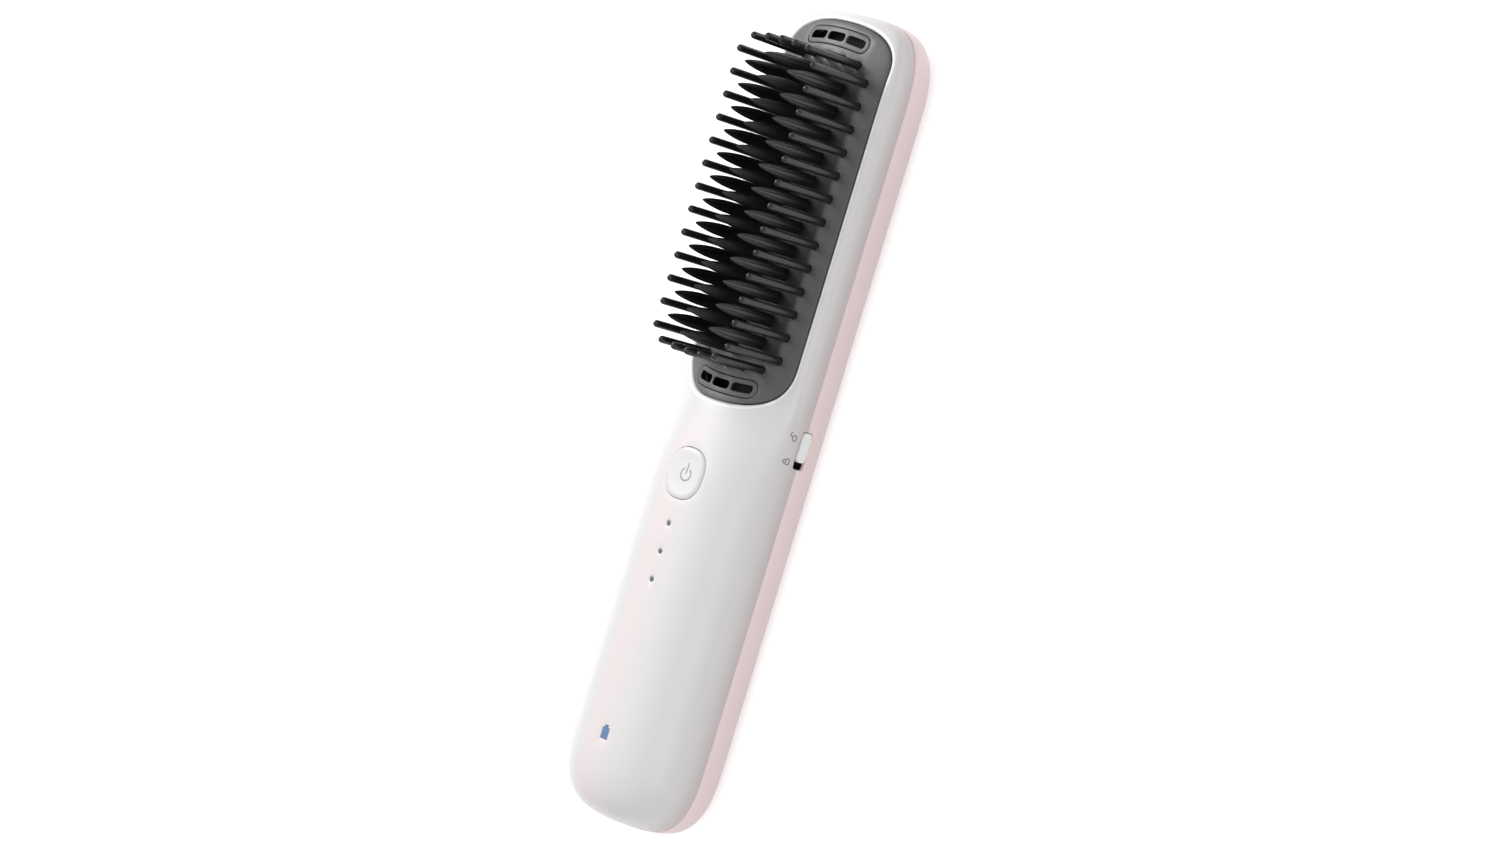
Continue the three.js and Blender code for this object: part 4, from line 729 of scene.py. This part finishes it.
# The lip that stands inside the front shell and fills the seam from within
def makeLip():
    solid = Solid()
    rings = []
    for inset, height in shell["lip"]:
        x = stationsAt(inset)
        y = endScale(x, inset) * (halfWidth - inset)
        z = np.full(len(x), parting + height)
        rings.append(solid.ring(np.vstack([np.column_stack([x, -y, z]), np.column_stack([x, y, z])[::-1]])))
    solid.tube(rings + rings[:1])
    return makeMesh("rearLip", solid)


def sliderSlot(offset):
    halfX = (slider["slotHead"] - slider["slotButt"]) / 2 + offset
    middleX = (slider["slotHead"] + slider["slotButt"]) / 2
    return superOval(halfX, slider["slotHalfHeight"] + offset, slider["slotSquareness"], 56, middleX, parting)


# Two bars: one for the slider's slot in the right side and one for the socket's hole in the butt end
def makeCutter():
    solid = Solid()
    slot = sliderSlot(0.0)
    hole = socketOutline(socket["gap"])
    reach = (-halfLength - socket["clear"], socket["holeEndX"])
    solid.closedTube([solid.sideRing(slot, y - halfWidth) for y in (-slider["clear"], slider["slotDepth"])])
    solid.closedTube([solid.ring(np.insert(hole, 0, x, axis=1)) for x in reach])
    return makeMesh("cutter", solid)


def socketOutline(offset):
    halfZ = socket["height"] / 2 + offset
    flat = socket["width"] / 2 + offset - halfZ
    turn = np.linspace(-np.pi / 2, np.pi / 2, 17)
    right = np.column_stack([flat + halfZ * np.cos(turn), parting + halfZ * np.sin(turn)])
    left = np.column_stack([-flat - halfZ * np.cos(turn), parting - halfZ * np.sin(turn)])
    return np.vstack([right, left])


def cutAway(piece, cutter):
    modifier = piece.modifiers.new("cut", "BOOLEAN")
    modifier.operation = "DIFFERENCE"
    modifier.solver = "MANIFOLD"
    modifier.object = cutter
    makePlain(piece)
    tidyMesh(piece.data)


cutter = makeCutter()
frontShell = makeFrontShell()
rearCover = makeRearCover()
rearLip = makeLip()
for piece in (frontShell, rearCover, rearLip):
    cutAway(piece, cutter)
bpy.data.objects.remove(cutter)


# The rounded edge round the bezel, which is painted brighter as a painted highlight
def onOpeningEdge(points):
    near = insideLoop(points, bezelOutline(bezel["gap"] + shell["openingRound"]))
    near &= ~insideLoop(points, bezelOutline(bezel["gap"] - 0.05))
    return near & (points[:, 2] > frontZ(points[:, 0], points[:, 1]) - shell["openingRound"] - 0.1)


for piece, node, slot in (
    (frontShell, "front_shell", "white_shell"),
    (rearCover, "rear_cover", "pink_cover"),
    (rearLip, "rear_cover", "pink_cover"),
):
    finishPiece(piece, slot)
    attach(piece, "housing")
    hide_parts(node)
# the rounded edge round the bezel gets the painted highlight
finishFaces(frontShell, "painted_highlight", onOpeningEdge)
print("housings made")

grille = {
    "length": 23.8,
    "width": 4.8,
    "sag": 0.9,
    "thickness": 1.0,
    "slotLip": 0.45,  # the cover is thinned to this, so its slots look dark from the side
    "inset": 4.3,
    "seat": 0.7,
    "seatGap": 0.3,
    "slotWidth": 2.3,
    "slotLength": 6.6,
    "rib": 0.75,
    "corner": 0.95,
    "gap": 0.22,
    "slotRound": 0.1,
    "edgeRound": 0.14,
}
teeth = {
    "rows": 13,
    "pitch": 6.28,
    "firstRow": 93.2,
    "pinColumn": 14.86,
    "pinBase": 1.12,
    "pinTip": 1.02,
    "pinTipHeight": 39.9,
    "endPins": 5,
    "endPitch": 5.5,
    "endSag": 0.8,
    "headRow": 98.1,
    "handleRow": 13.54,
    "bladeColumn": 8.57,
    "chord": 3.4,
    "thickness": 1.3,
    "bulge": 0.8,
    "taper": 0.6,
    "tipCrowding": 2.2,  # rows of faces lie closer together towards the tips
    "holeGap": 0.05,  # between a tooth and its hole in the bezel
    "holeRound": 0.12,
    "rooted": 1.0,  # how deep a tooth stands in its rail or plate
    "point": 11.0,
    "railHeight": 2.2,
    "plate": 2.0,
    "plateGap": 0.3,
    "footRailY": 4.8,
    "footRailWidth": 1.0,
    "footRailHalfLength": 23.3,
    "footX": 25.9,
    "footRadius": 2.1,
    "footSunk": 0.5,
    "sideTipHeight": 41.7,
    "middleTipHeight": 43.3,
}


# A bar with round corners, bent like the end of the bezel. Outward is 1 at the head and -1 at the handle.
def bentBar(outward, middleY, halfY, halfX, corner, cornerSteps=8, sideSteps=14):
    middleX = bezel["headX"] - grille["inset"] if outward > 0 else bezel["handleX"] + grille["inset"]
    straight = halfY - corner
    points = []
    for side in (1, -1):
        points += [(side * halfX, side * straight * (2 * i / sideSteps - 1)) for i in range(sideSteps + 1)]
        for i in range(1, cornerSteps):
            c, s = math.cos(i / cornerSteps * math.pi), math.sin(i / cornerSteps * math.pi)
            flat = math.copysign(halfX - corner, c)
            points.append((side * (flat + corner * c), side * (straight + corner * s)))
    points = np.array(points)
    y = middleY + points[:, 1]
    bend = grille["sag"] / (grille["length"] / 2) ** 2
    return np.column_stack([middleX + points[:, 0] - outward * bend * y * y, y])


def grilleOutline(outward):
    length, width = grille["length"] / 2, grille["width"] / 2
    return lambda offset: bentBar(outward, 0, length + offset, width + offset, width + offset)


def slotOutline(outward, y):
    length, width, corner = grille["slotLength"] / 2, grille["slotWidth"] / 2, grille["corner"]
    return lambda offset: bentBar(outward, y, length + offset, width + offset, corner + offset, 9, 6)


def lens(x, y, chord, thickness, count=20):
    def outline(offset):
        turn = np.arange(count) / count * 2 * np.pi
        c, s = np.cos(turn), np.sin(turn)
        bulge = s * np.abs(s) ** teeth["bulge"]
        return np.column_stack([x + (chord / 2 + offset) * c, y + (thickness / 2 + offset) * bulge])
    return outline


rowPlaces = [teeth["firstRow"] - i * teeth["pitch"] for i in range(teeth["rows"])]
halfRows = [x - teeth["pitch"] / 2 for x in rowPlaces[:-1]]


def endRow(x, outward):
    middle = (teeth["endPins"] - 1) / 2
    return [(x - outward * teeth["endSag"] * ((i - middle) / middle) ** 2, (i - middle) * teeth["endPitch"])
            for i in range(teeth["endPins"])]


pinPlaces = [(x, side * teeth["pinColumn"]) for side in (1, -1) for x in rowPlaces]
pinPlaces += endRow(teeth["headRow"], 1) + endRow(teeth["handleRow"], -1)
bladePlaces = [(x, 0.0, teeth["middleTipHeight"]) for x in rowPlaces]
bladePlaces += [(x, y, teeth["sideTipHeight"]) for y in (teeth["bladeColumn"], -teeth["bladeColumn"])
                for x in halfRows]


def makeBezel():
    top, bottom = bezel["sink"], bezel["sink"] + bezel["wall"]
    gap = teeth["holeGap"]
    holeRows = edgeRows(teeth["holeRound"], 2, depth=top) + [(0.0, bottom)]
    holes = [(roundHole(x, y, teeth["pinBase"] + gap, 16), holeRows) for x, y in pinPlaces]
    holes += [(lens(x, y, teeth["chord"] + 2 * gap, teeth["thickness"] + 2 * gap), holeRows)
              for x, y, _ in bladePlaces]
    seatDepth = top + grille["thickness"] + grille["seatGap"]
    around, seat = grille["gap"], grille["seat"]
    pocketRows = edgeRows(grille["slotRound"], 2, offset=around, depth=top)
    pocketRows += [(around, seatDepth), (-seat, seatDepth), (-seat, bottom)]
    holes += [(grilleOutline(outward), pocketRows) for outward in (1, -1)]
    rows = edgeRows(bezel["edgeRound"], side=-1, depth=top) + [(0.0, bottom)]
    return makePlate("bezelCover", bezelOutline, rows, holes, spacing=2.2, gap=0.45)


def makeGrille(name, outward):
    top, bottom = bezel["sink"], bezel["sink"] + grille["slotLip"]
    step = grille["slotLength"] + grille["rib"]
    slotRows = edgeRows(grille["slotRound"], 2, depth=top) + [(0.0, bottom)]
    holes = [(slotOutline(outward, y), slotRows) for y in (0, step, -step)]
    rows = edgeRows(grille["edgeRound"], 3, side=-1, depth=top) + [(0.0, bottom)]
    return makePlate(name, grilleOutline(outward), rows, holes, spacing=1.2, gap=0.3)


# The pockets under the grilles, painted as dark as the frame behind them: painted shade in the recesses
def inPocketShade(points):
    inside = insideLoop(points, grilleOutline(1)(0.1)) | insideLoop(points, grilleOutline(-1)(0.1))
    depth = bezel["sink"] + grille["slotLip"] + 0.2
    return inside & (points[:, 2] < frontZ(points[:, 0], points[:, 1]) - depth)


bezelCover = makeBezel()
for piece, node in (
    (bezelCover, "bezel"),
    (makeGrille("headGrille", 1), "vent_grille_head"),
    (makeGrille("handleGrille", -1), "vent_grille_handle"),
):
    finishPiece(piece, "grey_bezel")
    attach(piece, "housing")
    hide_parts(node)
# painted shade: the pockets' deep faces take the frame's near-black finish
finishFaces(bezelCover, "frame", inPocketShade)
print("bezel made")


# One tooth is a tube of unit radius that is set on every point of a mesh and drawn to its profile.
# The points carry their place and the height of the tip as attributes.
def toothTree(name, profile, finish):
    tree = bpy.data.node_groups.new(name, "GeometryNodeTree")
    for key, kind in (("Geometry", "Geometry"), ("Length Along", "Float"), ("Length Across", "Float"),
                      ("Foot", "Float"), ("Tip Length", "Float"), ("Sides", "Int"), ("Steps", "Int")):
        tree.interface.new_socket(key, in_out="INPUT", socket_type="NodeSocket" + kind)
    tree.interface.new_socket("Geometry", in_out="OUTPUT", socket_type="NodeSocketGeometry")
    given = addNode(tree, "NodeGroupInput").outputs

    def calc(operation, *values):
        return addNode(tree, "ShaderNodeMath", dict(enumerate(values)), operation=operation).outputs[0]

    def stored(key, kind):
        return addNode(tree, "GeometryNodeInputNamedAttribute", {"Name": key}, data_type=kind).outputs[0]

    tube = addNode(tree, "GeometryNodeMeshCylinder", {
        "Vertices": given["Sides"], "Side Segments": given["Steps"], "Radius": 1.0, "Depth": 1.0},
        fill_type="NGON")
    place = addNode(tree, "GeometryNodeInputPosition").outputs[0]
    axis = addNode(tree, "ShaderNodeSeparateXYZ", {0: place}).outputs
    # steps crowd towards the tip
    rise = calc("ADD", axis[2], 0.5)
    left = calc("MAXIMUM", calc("SUBTRACT", 1.0, rise), 0.0)
    rise = calc("SUBTRACT", 1.0, calc("POWER", left, teeth["tipCrowding"]))
    stepped = addNode(tree, "GeometryNodeSetPosition", {
        "Geometry": tube.outputs["Mesh"],
        "Position": addNode(tree, "ShaderNodeCombineXYZ", {0: axis[0], 1: axis[1], 2: rise}).outputs[0]})
    copies = addNode(tree, "GeometryNodeInstanceOnPoints", {
        "Points": given["Geometry"], "Instance": stepped.outputs[0]})
    real = addNode(tree, "GeometryNodeRealizeInstances", {"Geometry": copies.outputs[0]})
    # each realised vertex is drawn to the tooth's profile about its own root
    tip = stored("tipHeight", "FLOAT")
    root = stored("root", "FLOAT_VECTOR")
    rootAxis = addNode(tree, "ShaderNodeSeparateXYZ", {0: root}).outputs
    local = addNode(tree, "ShaderNodeVectorMath", {0: place, 1: root}, operation="SUBTRACT").outputs[0]
    part = addNode(tree, "ShaderNodeSeparateXYZ", {0: local}).outputs
    full = calc("SUBTRACT", tip, given["Foot"])
    height = calc("MULTIPLY", part[2], full)
    below = calc("DIVIDE", calc("SUBTRACT", full, height), given["Tip Length"])
    below = calc("MINIMUM", calc("MAXIMUM", below, 0.0), 1.0)
    along, across = profile(calc, part, below, given)
    drawn = addNode(tree, "ShaderNodeCombineXYZ", {
        0: calc("ADD", rootAxis[0], along),
        1: calc("ADD", rootAxis[1], across),
        2: calc("ADD", given["Foot"], height)})
    shaped = addNode(tree, "GeometryNodeSetPosition", {
        "Geometry": real.outputs[0], "Position": drawn.outputs[0]})
    merged = addNode(tree, "GeometryNodeMergeByDistance", {"Geometry": shaped.outputs[0], "Distance": 2e-6})
    shaded = addNode(tree, "GeometryNodeSetShadeSmooth", {"Geometry": merged.outputs[0]})
    painted = addNode(tree, "GeometryNodeSetMaterial", {"Geometry": shaded.outputs[0], "Material": finish})
    addNode(tree, "NodeGroupOutput", {"Geometry": painted.outputs[0]})
    return tree


# Round bristle: a slight taper and a domed tip
def bristleProfile(calc, part, below, given):
    short = calc("SUBTRACT", 1.0, below)
    dome = calc("SQRT", calc("MAXIMUM", calc("SUBTRACT", 1.0, calc("POWER", short, 2.0)), 0.0))
    change = calc("SUBTRACT", given["Length Across"], given["Length Along"])
    taper = calc("MULTIPLY_ADD", calc("MINIMUM", part[2], 1.0), change, given["Length Along"])
    reach = calc("MULTIPLY", dome, taper)
    return calc("MULTIPLY", part[0], reach), calc("MULTIPLY", part[1], reach)


# Heated blade: a lens in section, narrowing to a blunt point
def bladeProfile(calc, part, below, given):
    share = calc("POWER", calc("SINE", calc("MULTIPLY", below, math.pi / 2)), teeth["taper"])
    bulge = calc("MULTIPLY", part[1], calc("POWER", calc("ABSOLUTE", part[1]), teeth["bulge"]))
    along = calc("MULTIPLY", calc("MULTIPLY", part[0], share), calc("MULTIPLY", given["Length Along"], 0.5))
    across = calc("MULTIPLY", calc("MULTIPLY", bulge, share), calc("MULTIPLY", given["Length Across"], 0.5))
    return along, across


def growTeeth(name, places, profile, sizes, finish):
    mesh = bpy.data.meshes.new(name)
    mesh.from_pydata([(x * mm, y * mm, 0) for x, y, _ in places], [], [])
    tip = mesh.attributes.new("tipHeight", "FLOAT", "POINT")
    tip.data.foreach_set("value", [z * mm for _, _, z in places])
    root = mesh.attributes.new("root", "FLOAT_VECTOR", "POINT")
    root.data.foreach_set("vector", [c for x, y, _ in places for c in (x * mm, y * mm, 0)])
    grown = addObject(name, mesh)
    modifier = grown.modifiers.new("teeth", "NODES")
    modifier.node_group = toothTree(name + "Tree", profile, finish)
    for item in modifier.node_group.interface.items_tree:
        if item.in_out == "INPUT" and item.name in sizes:
            modifier[item.identifier] = sizes[item.name]
    makePlain(grown)
    kept = grown.data.attributes
    for key in ("tipHeight", "root"):
        if key in kept:
            kept.remove(kept[key])
    return grown


def addSolid(piece, solid):
    extra = makeMesh(piece.name + "Base", solid)
    work = bmesh.new()
    work.from_mesh(piece.data)
    work.from_mesh(extra.data)
    bmesh.ops.recalc_face_normals(work, faces=work.faces)
    work.to_mesh(piece.data)
    work.free()
    bpy.data.objects.remove(extra)
    piece.data.set_sharp_from_angle(angle=math.radians(40))


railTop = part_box("guard_bristles_left")[0].z / mm + teeth["railHeight"]
railNodes = ["guard_bristles_" + end for end in ("left", "right", "head", "handle")]
bristles = growTeeth("guardBristles", [(x, y, teeth["pinTipHeight"]) for x, y in pinPlaces], bristleProfile, {
    "Length Along": teeth["pinBase"] * mm, "Length Across": teeth["pinTip"] * mm,
    "Foot": (railTop - teeth["rooted"]) * mm, "Tip Length": teeth["pinTip"] * mm, "Sides": 20, "Steps": 16,
}, finishes["bristle"])
rails = Solid()
for node in railNodes:
    low, high = (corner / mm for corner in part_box(node))
    rails.box((low.x, low.y, low.z), (high.x, high.y, railTop))
addSolid(bristles, rails)
finishPiece(bristles, "bristle")
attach(bristles, "housing")
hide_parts(*railNodes)

# The blades stand on a plate, with two ribs and two posts under it
low, high = (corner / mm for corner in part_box("heater_comb"))
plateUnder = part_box("heating_element")[1].z / mm + teeth["plateGap"]
blades = growTeeth("heatedBlades", bladePlaces, bladeProfile, {
    "Length Along": teeth["chord"] * mm, "Length Across": teeth["thickness"] * mm,
    "Foot": (plateUnder + teeth["plate"] - teeth["rooted"]) * mm, "Tip Length": teeth["point"] * mm,
    "Sides": 24, "Steps": 18,
}, finishes["comb"])
combPlate = Solid()
combPlate.box((low.x, low.y, plateUnder), (high.x, high.y, plateUnder + teeth["plate"]))
middle = (low.x + high.x) / 2
reach = teeth["footRailHalfLength"]
sunk = plateUnder + teeth["footSunk"]
for side in (1, -1):
    near, far = sorted(side * (teeth["footRailY"] + across) for across in (0, teeth["footRailWidth"]))
    combPlate.box((middle - reach, near, low.z), (middle + reach, far, sunk))
    combPlate.post(middle + side * teeth["footX"], 0, teeth["footRadius"], low.z, sunk)
addSolid(blades, combPlate)
finishPiece(blades, "comb")
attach(blades, "housing")
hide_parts("heater_comb")
print("teeth grown")


def buttonDish(x, y):
    half, power = button["width"] / 2 - button["edgeWidth"], button["squareness"]
    reach = (np.abs((x - button["x"]) / half) ** power + np.abs(y / half) ** power) ** (1 / power)
    return button["dish"] * np.maximum(0, 1 - reach ** 3)


def makeButton():
    proud, skirt, flange = button["proud"], button["skirt"], button["flange"]
    top = body["wall"] + bezel["gap"]
    under = top + button["flangeHeight"]
    width, drop = button["edgeWidth"], button["edgeDrop"]
    rows = [(across * width, depth * drop - proud) for across, depth in edgeRows(1, 7, side=-1)]
    rows += [(0.0, top), (flange, top), (flange, under), (-skirt, under), (-skirt, button["wall"] - proud)]
    return makePlate("buttonCap", buttonOutline, rows, spacing=0.55, gap=0.25, dish=buttonDish)


buttonCap = makeButton()
stem = Solid()
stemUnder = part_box("tact_plunger")[1].z / mm + bezel["gap"]
stem.post(button["x"], 0, button["stemRadius"], stemUnder, float(frontZ(button["x"], 0.0)) - button["skirt"])
addSolid(buttonCap, stem)
finishPiece(buttonCap, "white_shell", "button_cap")
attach(buttonCap, "button")
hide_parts("power_button")

# Printed power symbol: a ring open towards the head, with a bar through the gap
symbol = {
    "x": -17.58,
    "y": -0.75,
    "radiusX": 1.7,
    "radiusY": 1.9,
    "stroke": 0.42,
    "gapAngle": 33,
    "barLength": 3.1,
    "thickness": 0.03,
    "sunk": 0.1,
}


def ringOutline(offset):
    turn = np.radians(np.linspace(symbol["gapAngle"], 360 - symbol["gapAngle"], 40))
    sides = []
    for half in (symbol["stroke"] / 2, -symbol["stroke"] / 2):
        sides.append(np.column_stack([symbol["x"] + (symbol["radiusX"] + half) * np.cos(turn),
                                      symbol["y"] + (symbol["radiusY"] + half) * np.sin(turn)]))
    return np.vstack([sides[0], sides[1][::-1]])


def barOutline(offset):
    half = symbol["stroke"] / 2
    y = symbol["y"]
    foot = symbol["x"] + half
    head = symbol["x"] + symbol["barLength"] - half
    turn = np.linspace(-np.pi / 2, np.pi / 2, 7)
    side = np.linspace(foot, head, 8)[1:-1]
    points = [(x, y - half) for x in side]
    points += [(head + half * math.cos(t), y + half * math.sin(t)) for t in turn]
    points += [(x, y + half) for x in side[::-1]]
    points += [(foot - half * math.cos(t), y - half * math.sin(t)) for t in turn]
    return np.array(points)


markRows = [(0, -button["proud"] - symbol["thickness"]), (0, -button["proud"] + symbol["sunk"])]
for name, outline in (("powerRing", ringOutline), ("powerBar", barOutline)):
    mark = makePlate(name, outline, markRows, spacing=5, gap=0.05, dish=buttonDish)
    finishPiece(mark, "light_guide", "pale_ink")
    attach(mark, "button")
print("button made")


# Three pegs on one strip
def makePegs():
    solid = Solid()
    for x in lights["places"]:
        rings = []
        for offset, depth in lights["dome"]:
            circle = roundHole(x, 0, lights["lensRadius"])(offset)
            rings.append(solid.flatRing(circle, lambda px, py: frontZ(px, py) - depth))
        solid.closedTube(rings)
    low, high = (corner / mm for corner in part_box("light_guide"))
    crest = float(frontZ(lights["places"][1], high.y))
    solid.box((low.x, low.y, crest - lights["stripUnder"]), (high.x, high.y, crest - lights["stripTop"]))
    return makeMesh("lightPegs", solid)


lightPegs = makePegs()
finishPiece(lightPegs, "light_guide")
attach(lightPegs, "housing")
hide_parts("light_guide")

batteryPeg = makePlate("batteryPeg", batteryOutline, battery["rows"], spacing=0.6, gap=0.1)
finishPiece(batteryPeg, "light_guide", "battery_guide")
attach(batteryPeg, "housing")
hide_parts("battery_light_guide")
print("lights made")


def makeSlider():
    solid = Solid()
    face = -halfWidth - slider["proud"]
    rows = [(-2 * slider["edge"], face)]
    rows += edgeRows(slider["edge"], 6, side=-1, depth=face)
    rows += [(0.0, -halfWidth + body["wall"] + slider["wallGap"])]
    rings = []
    halfX, halfZ = slider["length"] / 2, slider["height"] / 2
    for offset, y in rows:
        flat = superOval(halfX + offset, halfZ + offset, slider["squareness"], 56, slider["x"], parting)
        rings.append(solid.sideRing(flat, y))
    solid.closedTube(rings)
    return makeMesh("sliderKnob", solid)


# The flange inside the wall, with two prongs that hold the switch's lever
def makeSliderFoot():
    solid = Solid()
    low, high = (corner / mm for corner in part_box("lock_slider"))
    inner = -halfWidth + body["wall"] + slider["wallGap"]
    back = inner + slider["flange"]
    solid.box((low.x, inner, low.z), (high.x, back, high.z))
    for side in (1, -1):
        x = slider["x"] + side * slider["prongX"]
        halfX, halfZ = slider["prongHalfLength"], slider["prongHalfHeight"]
        solid.box((x - halfX, back, parting - halfZ), (x + halfX, high.y, parting + halfZ))
    return makeMesh("sliderFoot", solid)


# Black liner of the slot, set back from the surface: a dark sheet that paints in the shade of the slot
def makeShadeLiner():
    solid = Solid()
    rings = [solid.sideRing(sliderSlot(offset), depth - halfWidth) for offset, depth in slider["shadeLiner"]]
    solid.tube(rings + rings[:1])
    return makeMesh("slotShadeLiner", solid)


slotShadeLiner = makeShadeLiner()
finishPiece(slotShadeLiner, "black_plastic")
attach(slotShadeLiner, "housing")
sliderKnob = makeSlider()
sliderFoot = makeSliderFoot()
# painted highlight: the knob is painted brighter than the shell so that it looks lit
finishPiece(sliderKnob, "white_shell", "painted_highlight")
# the foot is finished black so that the slot behind the knob reads as painted shade
finishPiece(sliderFoot, "black_plastic")
for piece in (sliderKnob, sliderFoot):
    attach(piece, "slider")
    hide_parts("lock_slider")

# Printed open and closed padlocks above the slider's two places
lockMarks = {
    "openX": -0.1,
    "closedX": -6.45,
    "height": 3.85,
    "width": 1.8,
    "tall": 1.3,
    "squareness": 2.8,
    "stroke": 0.27,
    "shackleStroke": 0.243,
    "shackle": 0.5,
    "leg": 0.2,
    "arch": 0.5,
    "overlap": 0.02,  # of the shackle's feet with the case
    "swing": 0.85,
    "thickness": 0.03,
    "sunk": 0.05,
}


# Where the right side lies at a height above the joint
def sideY(x, height):
    low, high = 0.0, 1.0
    for _ in range(40):
        share = (low + high) / 2
        if float(frontRise(np.array(x), np.array(share))) > height:
            low = share
        else:
            high = share
    return -halfWidth * low


def strokeOutline(path, stroke):
    path = np.array(path)
    step = np.gradient(path, axis=0)
    step /= np.hypot(step[:, 0], step[:, 1])[:, None]
    normal = np.column_stack([-step[:, 1], step[:, 0]]) * stroke / 2
    return path + normal, path - normal


# The case is a ring. The shackle stands on its far side from the joint, and swings to the head when open.
def makePadlock(name, x, isOpen):
    solid = Solid()
    wide, tall, stroke = lockMarks["width"] / 2, lockMarks["tall"] / 2, lockMarks["stroke"]
    height, reach = lockMarks["height"], lockMarks["shackle"]

    def sideRing(outline, lift):
        return solid.ring([(px, sideY(px, h) - lift, parting + h) for px, h in outline])

    case = superOval(wide, tall, lockMarks["squareness"], 32, x, height)
    hollow = superOval(wide - stroke, tall - stroke, lockMarks["squareness"], 32, x, height)
    under, over = -lockMarks["sunk"], lockMarks["thickness"]
    rings = [sideRing(*row) for row in ((case, under), (case, over), (hollow, over), (hollow, under))]
    solid.tube(rings + rings[:1])
    mark = makeMesh(name, solid, sharpAngle=60)

    solid = Solid()
    x += lockMarks["swing"] if isOpen else 0.0
    top = height + tall - stroke / 2
    shoulder, arch = top + lockMarks["leg"], lockMarks["arch"]
    path = [(x - reach * math.cos(t), shoulder + arch * math.sin(t)) for t in np.linspace(0, np.pi, 15)]
    foot = top - lockMarks["overlap"]
    path.insert(0, (path[0][0], foot))
    if not isOpen:
        path.append((path[-1][0], foot))
    left, right = strokeOutline(path, lockMarks["shackleStroke"])
    rings = [sideRing(np.vstack([left, right[::-1]]), lift) for lift in (under, over)]
    solid.strip(*rings)
    for ring in rings:
        for i in range(len(left) - 1):
            j = len(ring) - 1 - i
            solid.faces.append((ring[i], ring[i + 1], ring[j - 1], ring[j]))
    addSolid(mark, solid)
    return mark


for name, isOpen in (("openPadlock", True), ("closedPadlock", False)):
    mark = makePadlock(name, lockMarks["openX" if isOpen else "closedX"], isOpen)
    finishPiece(mark, "light_guide", "ink")
    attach(mark, "housing")
print("slider made")

# Finishes of the frame's own nodes
slotOfNode = {part["node"]: part["material_slot"] for part in frame["record"]["subparts"]}
for name, node in frame["nodes"].items():
    node.data.materials.clear()
    node.data.materials.append(finishes[slotOfNode[name]])
print("inner parts finished")

studio = {
    "floorSize": 4,  # in metres from the middle
    "paper": 0.88,
    "floorGlow": 0.55,  # how much of the floor's white the camera sees without the lamps
    "worldStrength": 0.47,
    "aim": (0, 0, 0.02),
    "lamps": {  # place and size in metres, power
        "keyLamp": ((0.3, 0.65, 0.85), 0.7, 4.0),
        "headLamp": ((0.5, 0.75, 0.6), 0.36, 4.1),  # gives the glints on the tips
        "sideLamp": ((-0.2, -0.6, 0.9), 0.6, 2.6),
    },
}


# Marks the camera's rays and those of the kinds named
def seenBy(tree, *kinds):
    ray = addNode(tree, "ShaderNodeLightPath").outputs
    seen = ray["Is Camera Ray"]
    for kind in kinds:
        seen = addNode(tree, "ShaderNodeMath", {0: seen, 1: ray[kind]}, operation="MAXIMUM").outputs[0]
    return seen


def makeFloor():
    mesh = bpy.data.meshes.new("floor")
    work = bmesh.new()
    bmesh.ops.create_grid(work, x_segments=8, y_segments=8, size=studio["floorSize"])
    work.to_mesh(mesh)
    work.free()
    material = bpy.data.materials.new("whitePaperSweep")
    tree = clearTree(material)
    paper = addNode(tree, "ShaderNodeBsdfDiffuse", {"Color": (studio["paper"],) * 3 + (1,)}).outputs[0]
    glow = addNode(tree, "ShaderNodeEmission", {"Color": (1, 1, 1, 1), "Strength": studio["floorGlow"]})
    both = addNode(tree, "ShaderNodeAddShader", {0: paper, 1: glow.outputs[0]}).outputs[0]
    seen = seenBy(tree, "Is Glossy Ray", "Is Transmission Ray")
    pick = addNode(tree, "ShaderNodeMixShader", {0: seen, 1: paper, 2: both})
    addNode(tree, "ShaderNodeOutputMaterial", {"Surface": pick.outputs[0]})
    mesh.materials.append(material)
    addObject("floor", mesh)


def makeLamp(name, place, size, power):
    data = bpy.data.lights.new(name, "AREA")
    data.size = size
    data.energy = power
    lamp = addObject(name, data)
    lamp.location = place
    lamp.rotation_euler = (Vector(studio["aim"]) - Vector(place)).to_track_quat("-Z", "Y").to_euler()


def makeWorld():
    scene.world = bpy.data.worlds.new("studioWorld")
    tree = clearTree(scene.world)
    dim = addNode(tree, "ShaderNodeBackground", {"Color": (1, 1, 1, 1), "Strength": studio["worldStrength"]})
    bright = addNode(tree, "ShaderNodeBackground", {"Color": (1, 1, 1, 1), "Strength": 1.0})
    seen = seenBy(tree, "Is Transmission Ray")
    mixed = addNode(tree, "ShaderNodeMixShader", {0: seen, 1: dim.outputs[0], 2: bright.outputs[0]})
    addNode(tree, "ShaderNodeOutputWorld", {"Surface": mixed.outputs[0]})


makeFloor()
for name, (place, size, power) in studio["lamps"].items():
    makeLamp(name, place, size, power)
makeWorld()
scene.view_settings.view_transform = "Standard"
print("studio lit")
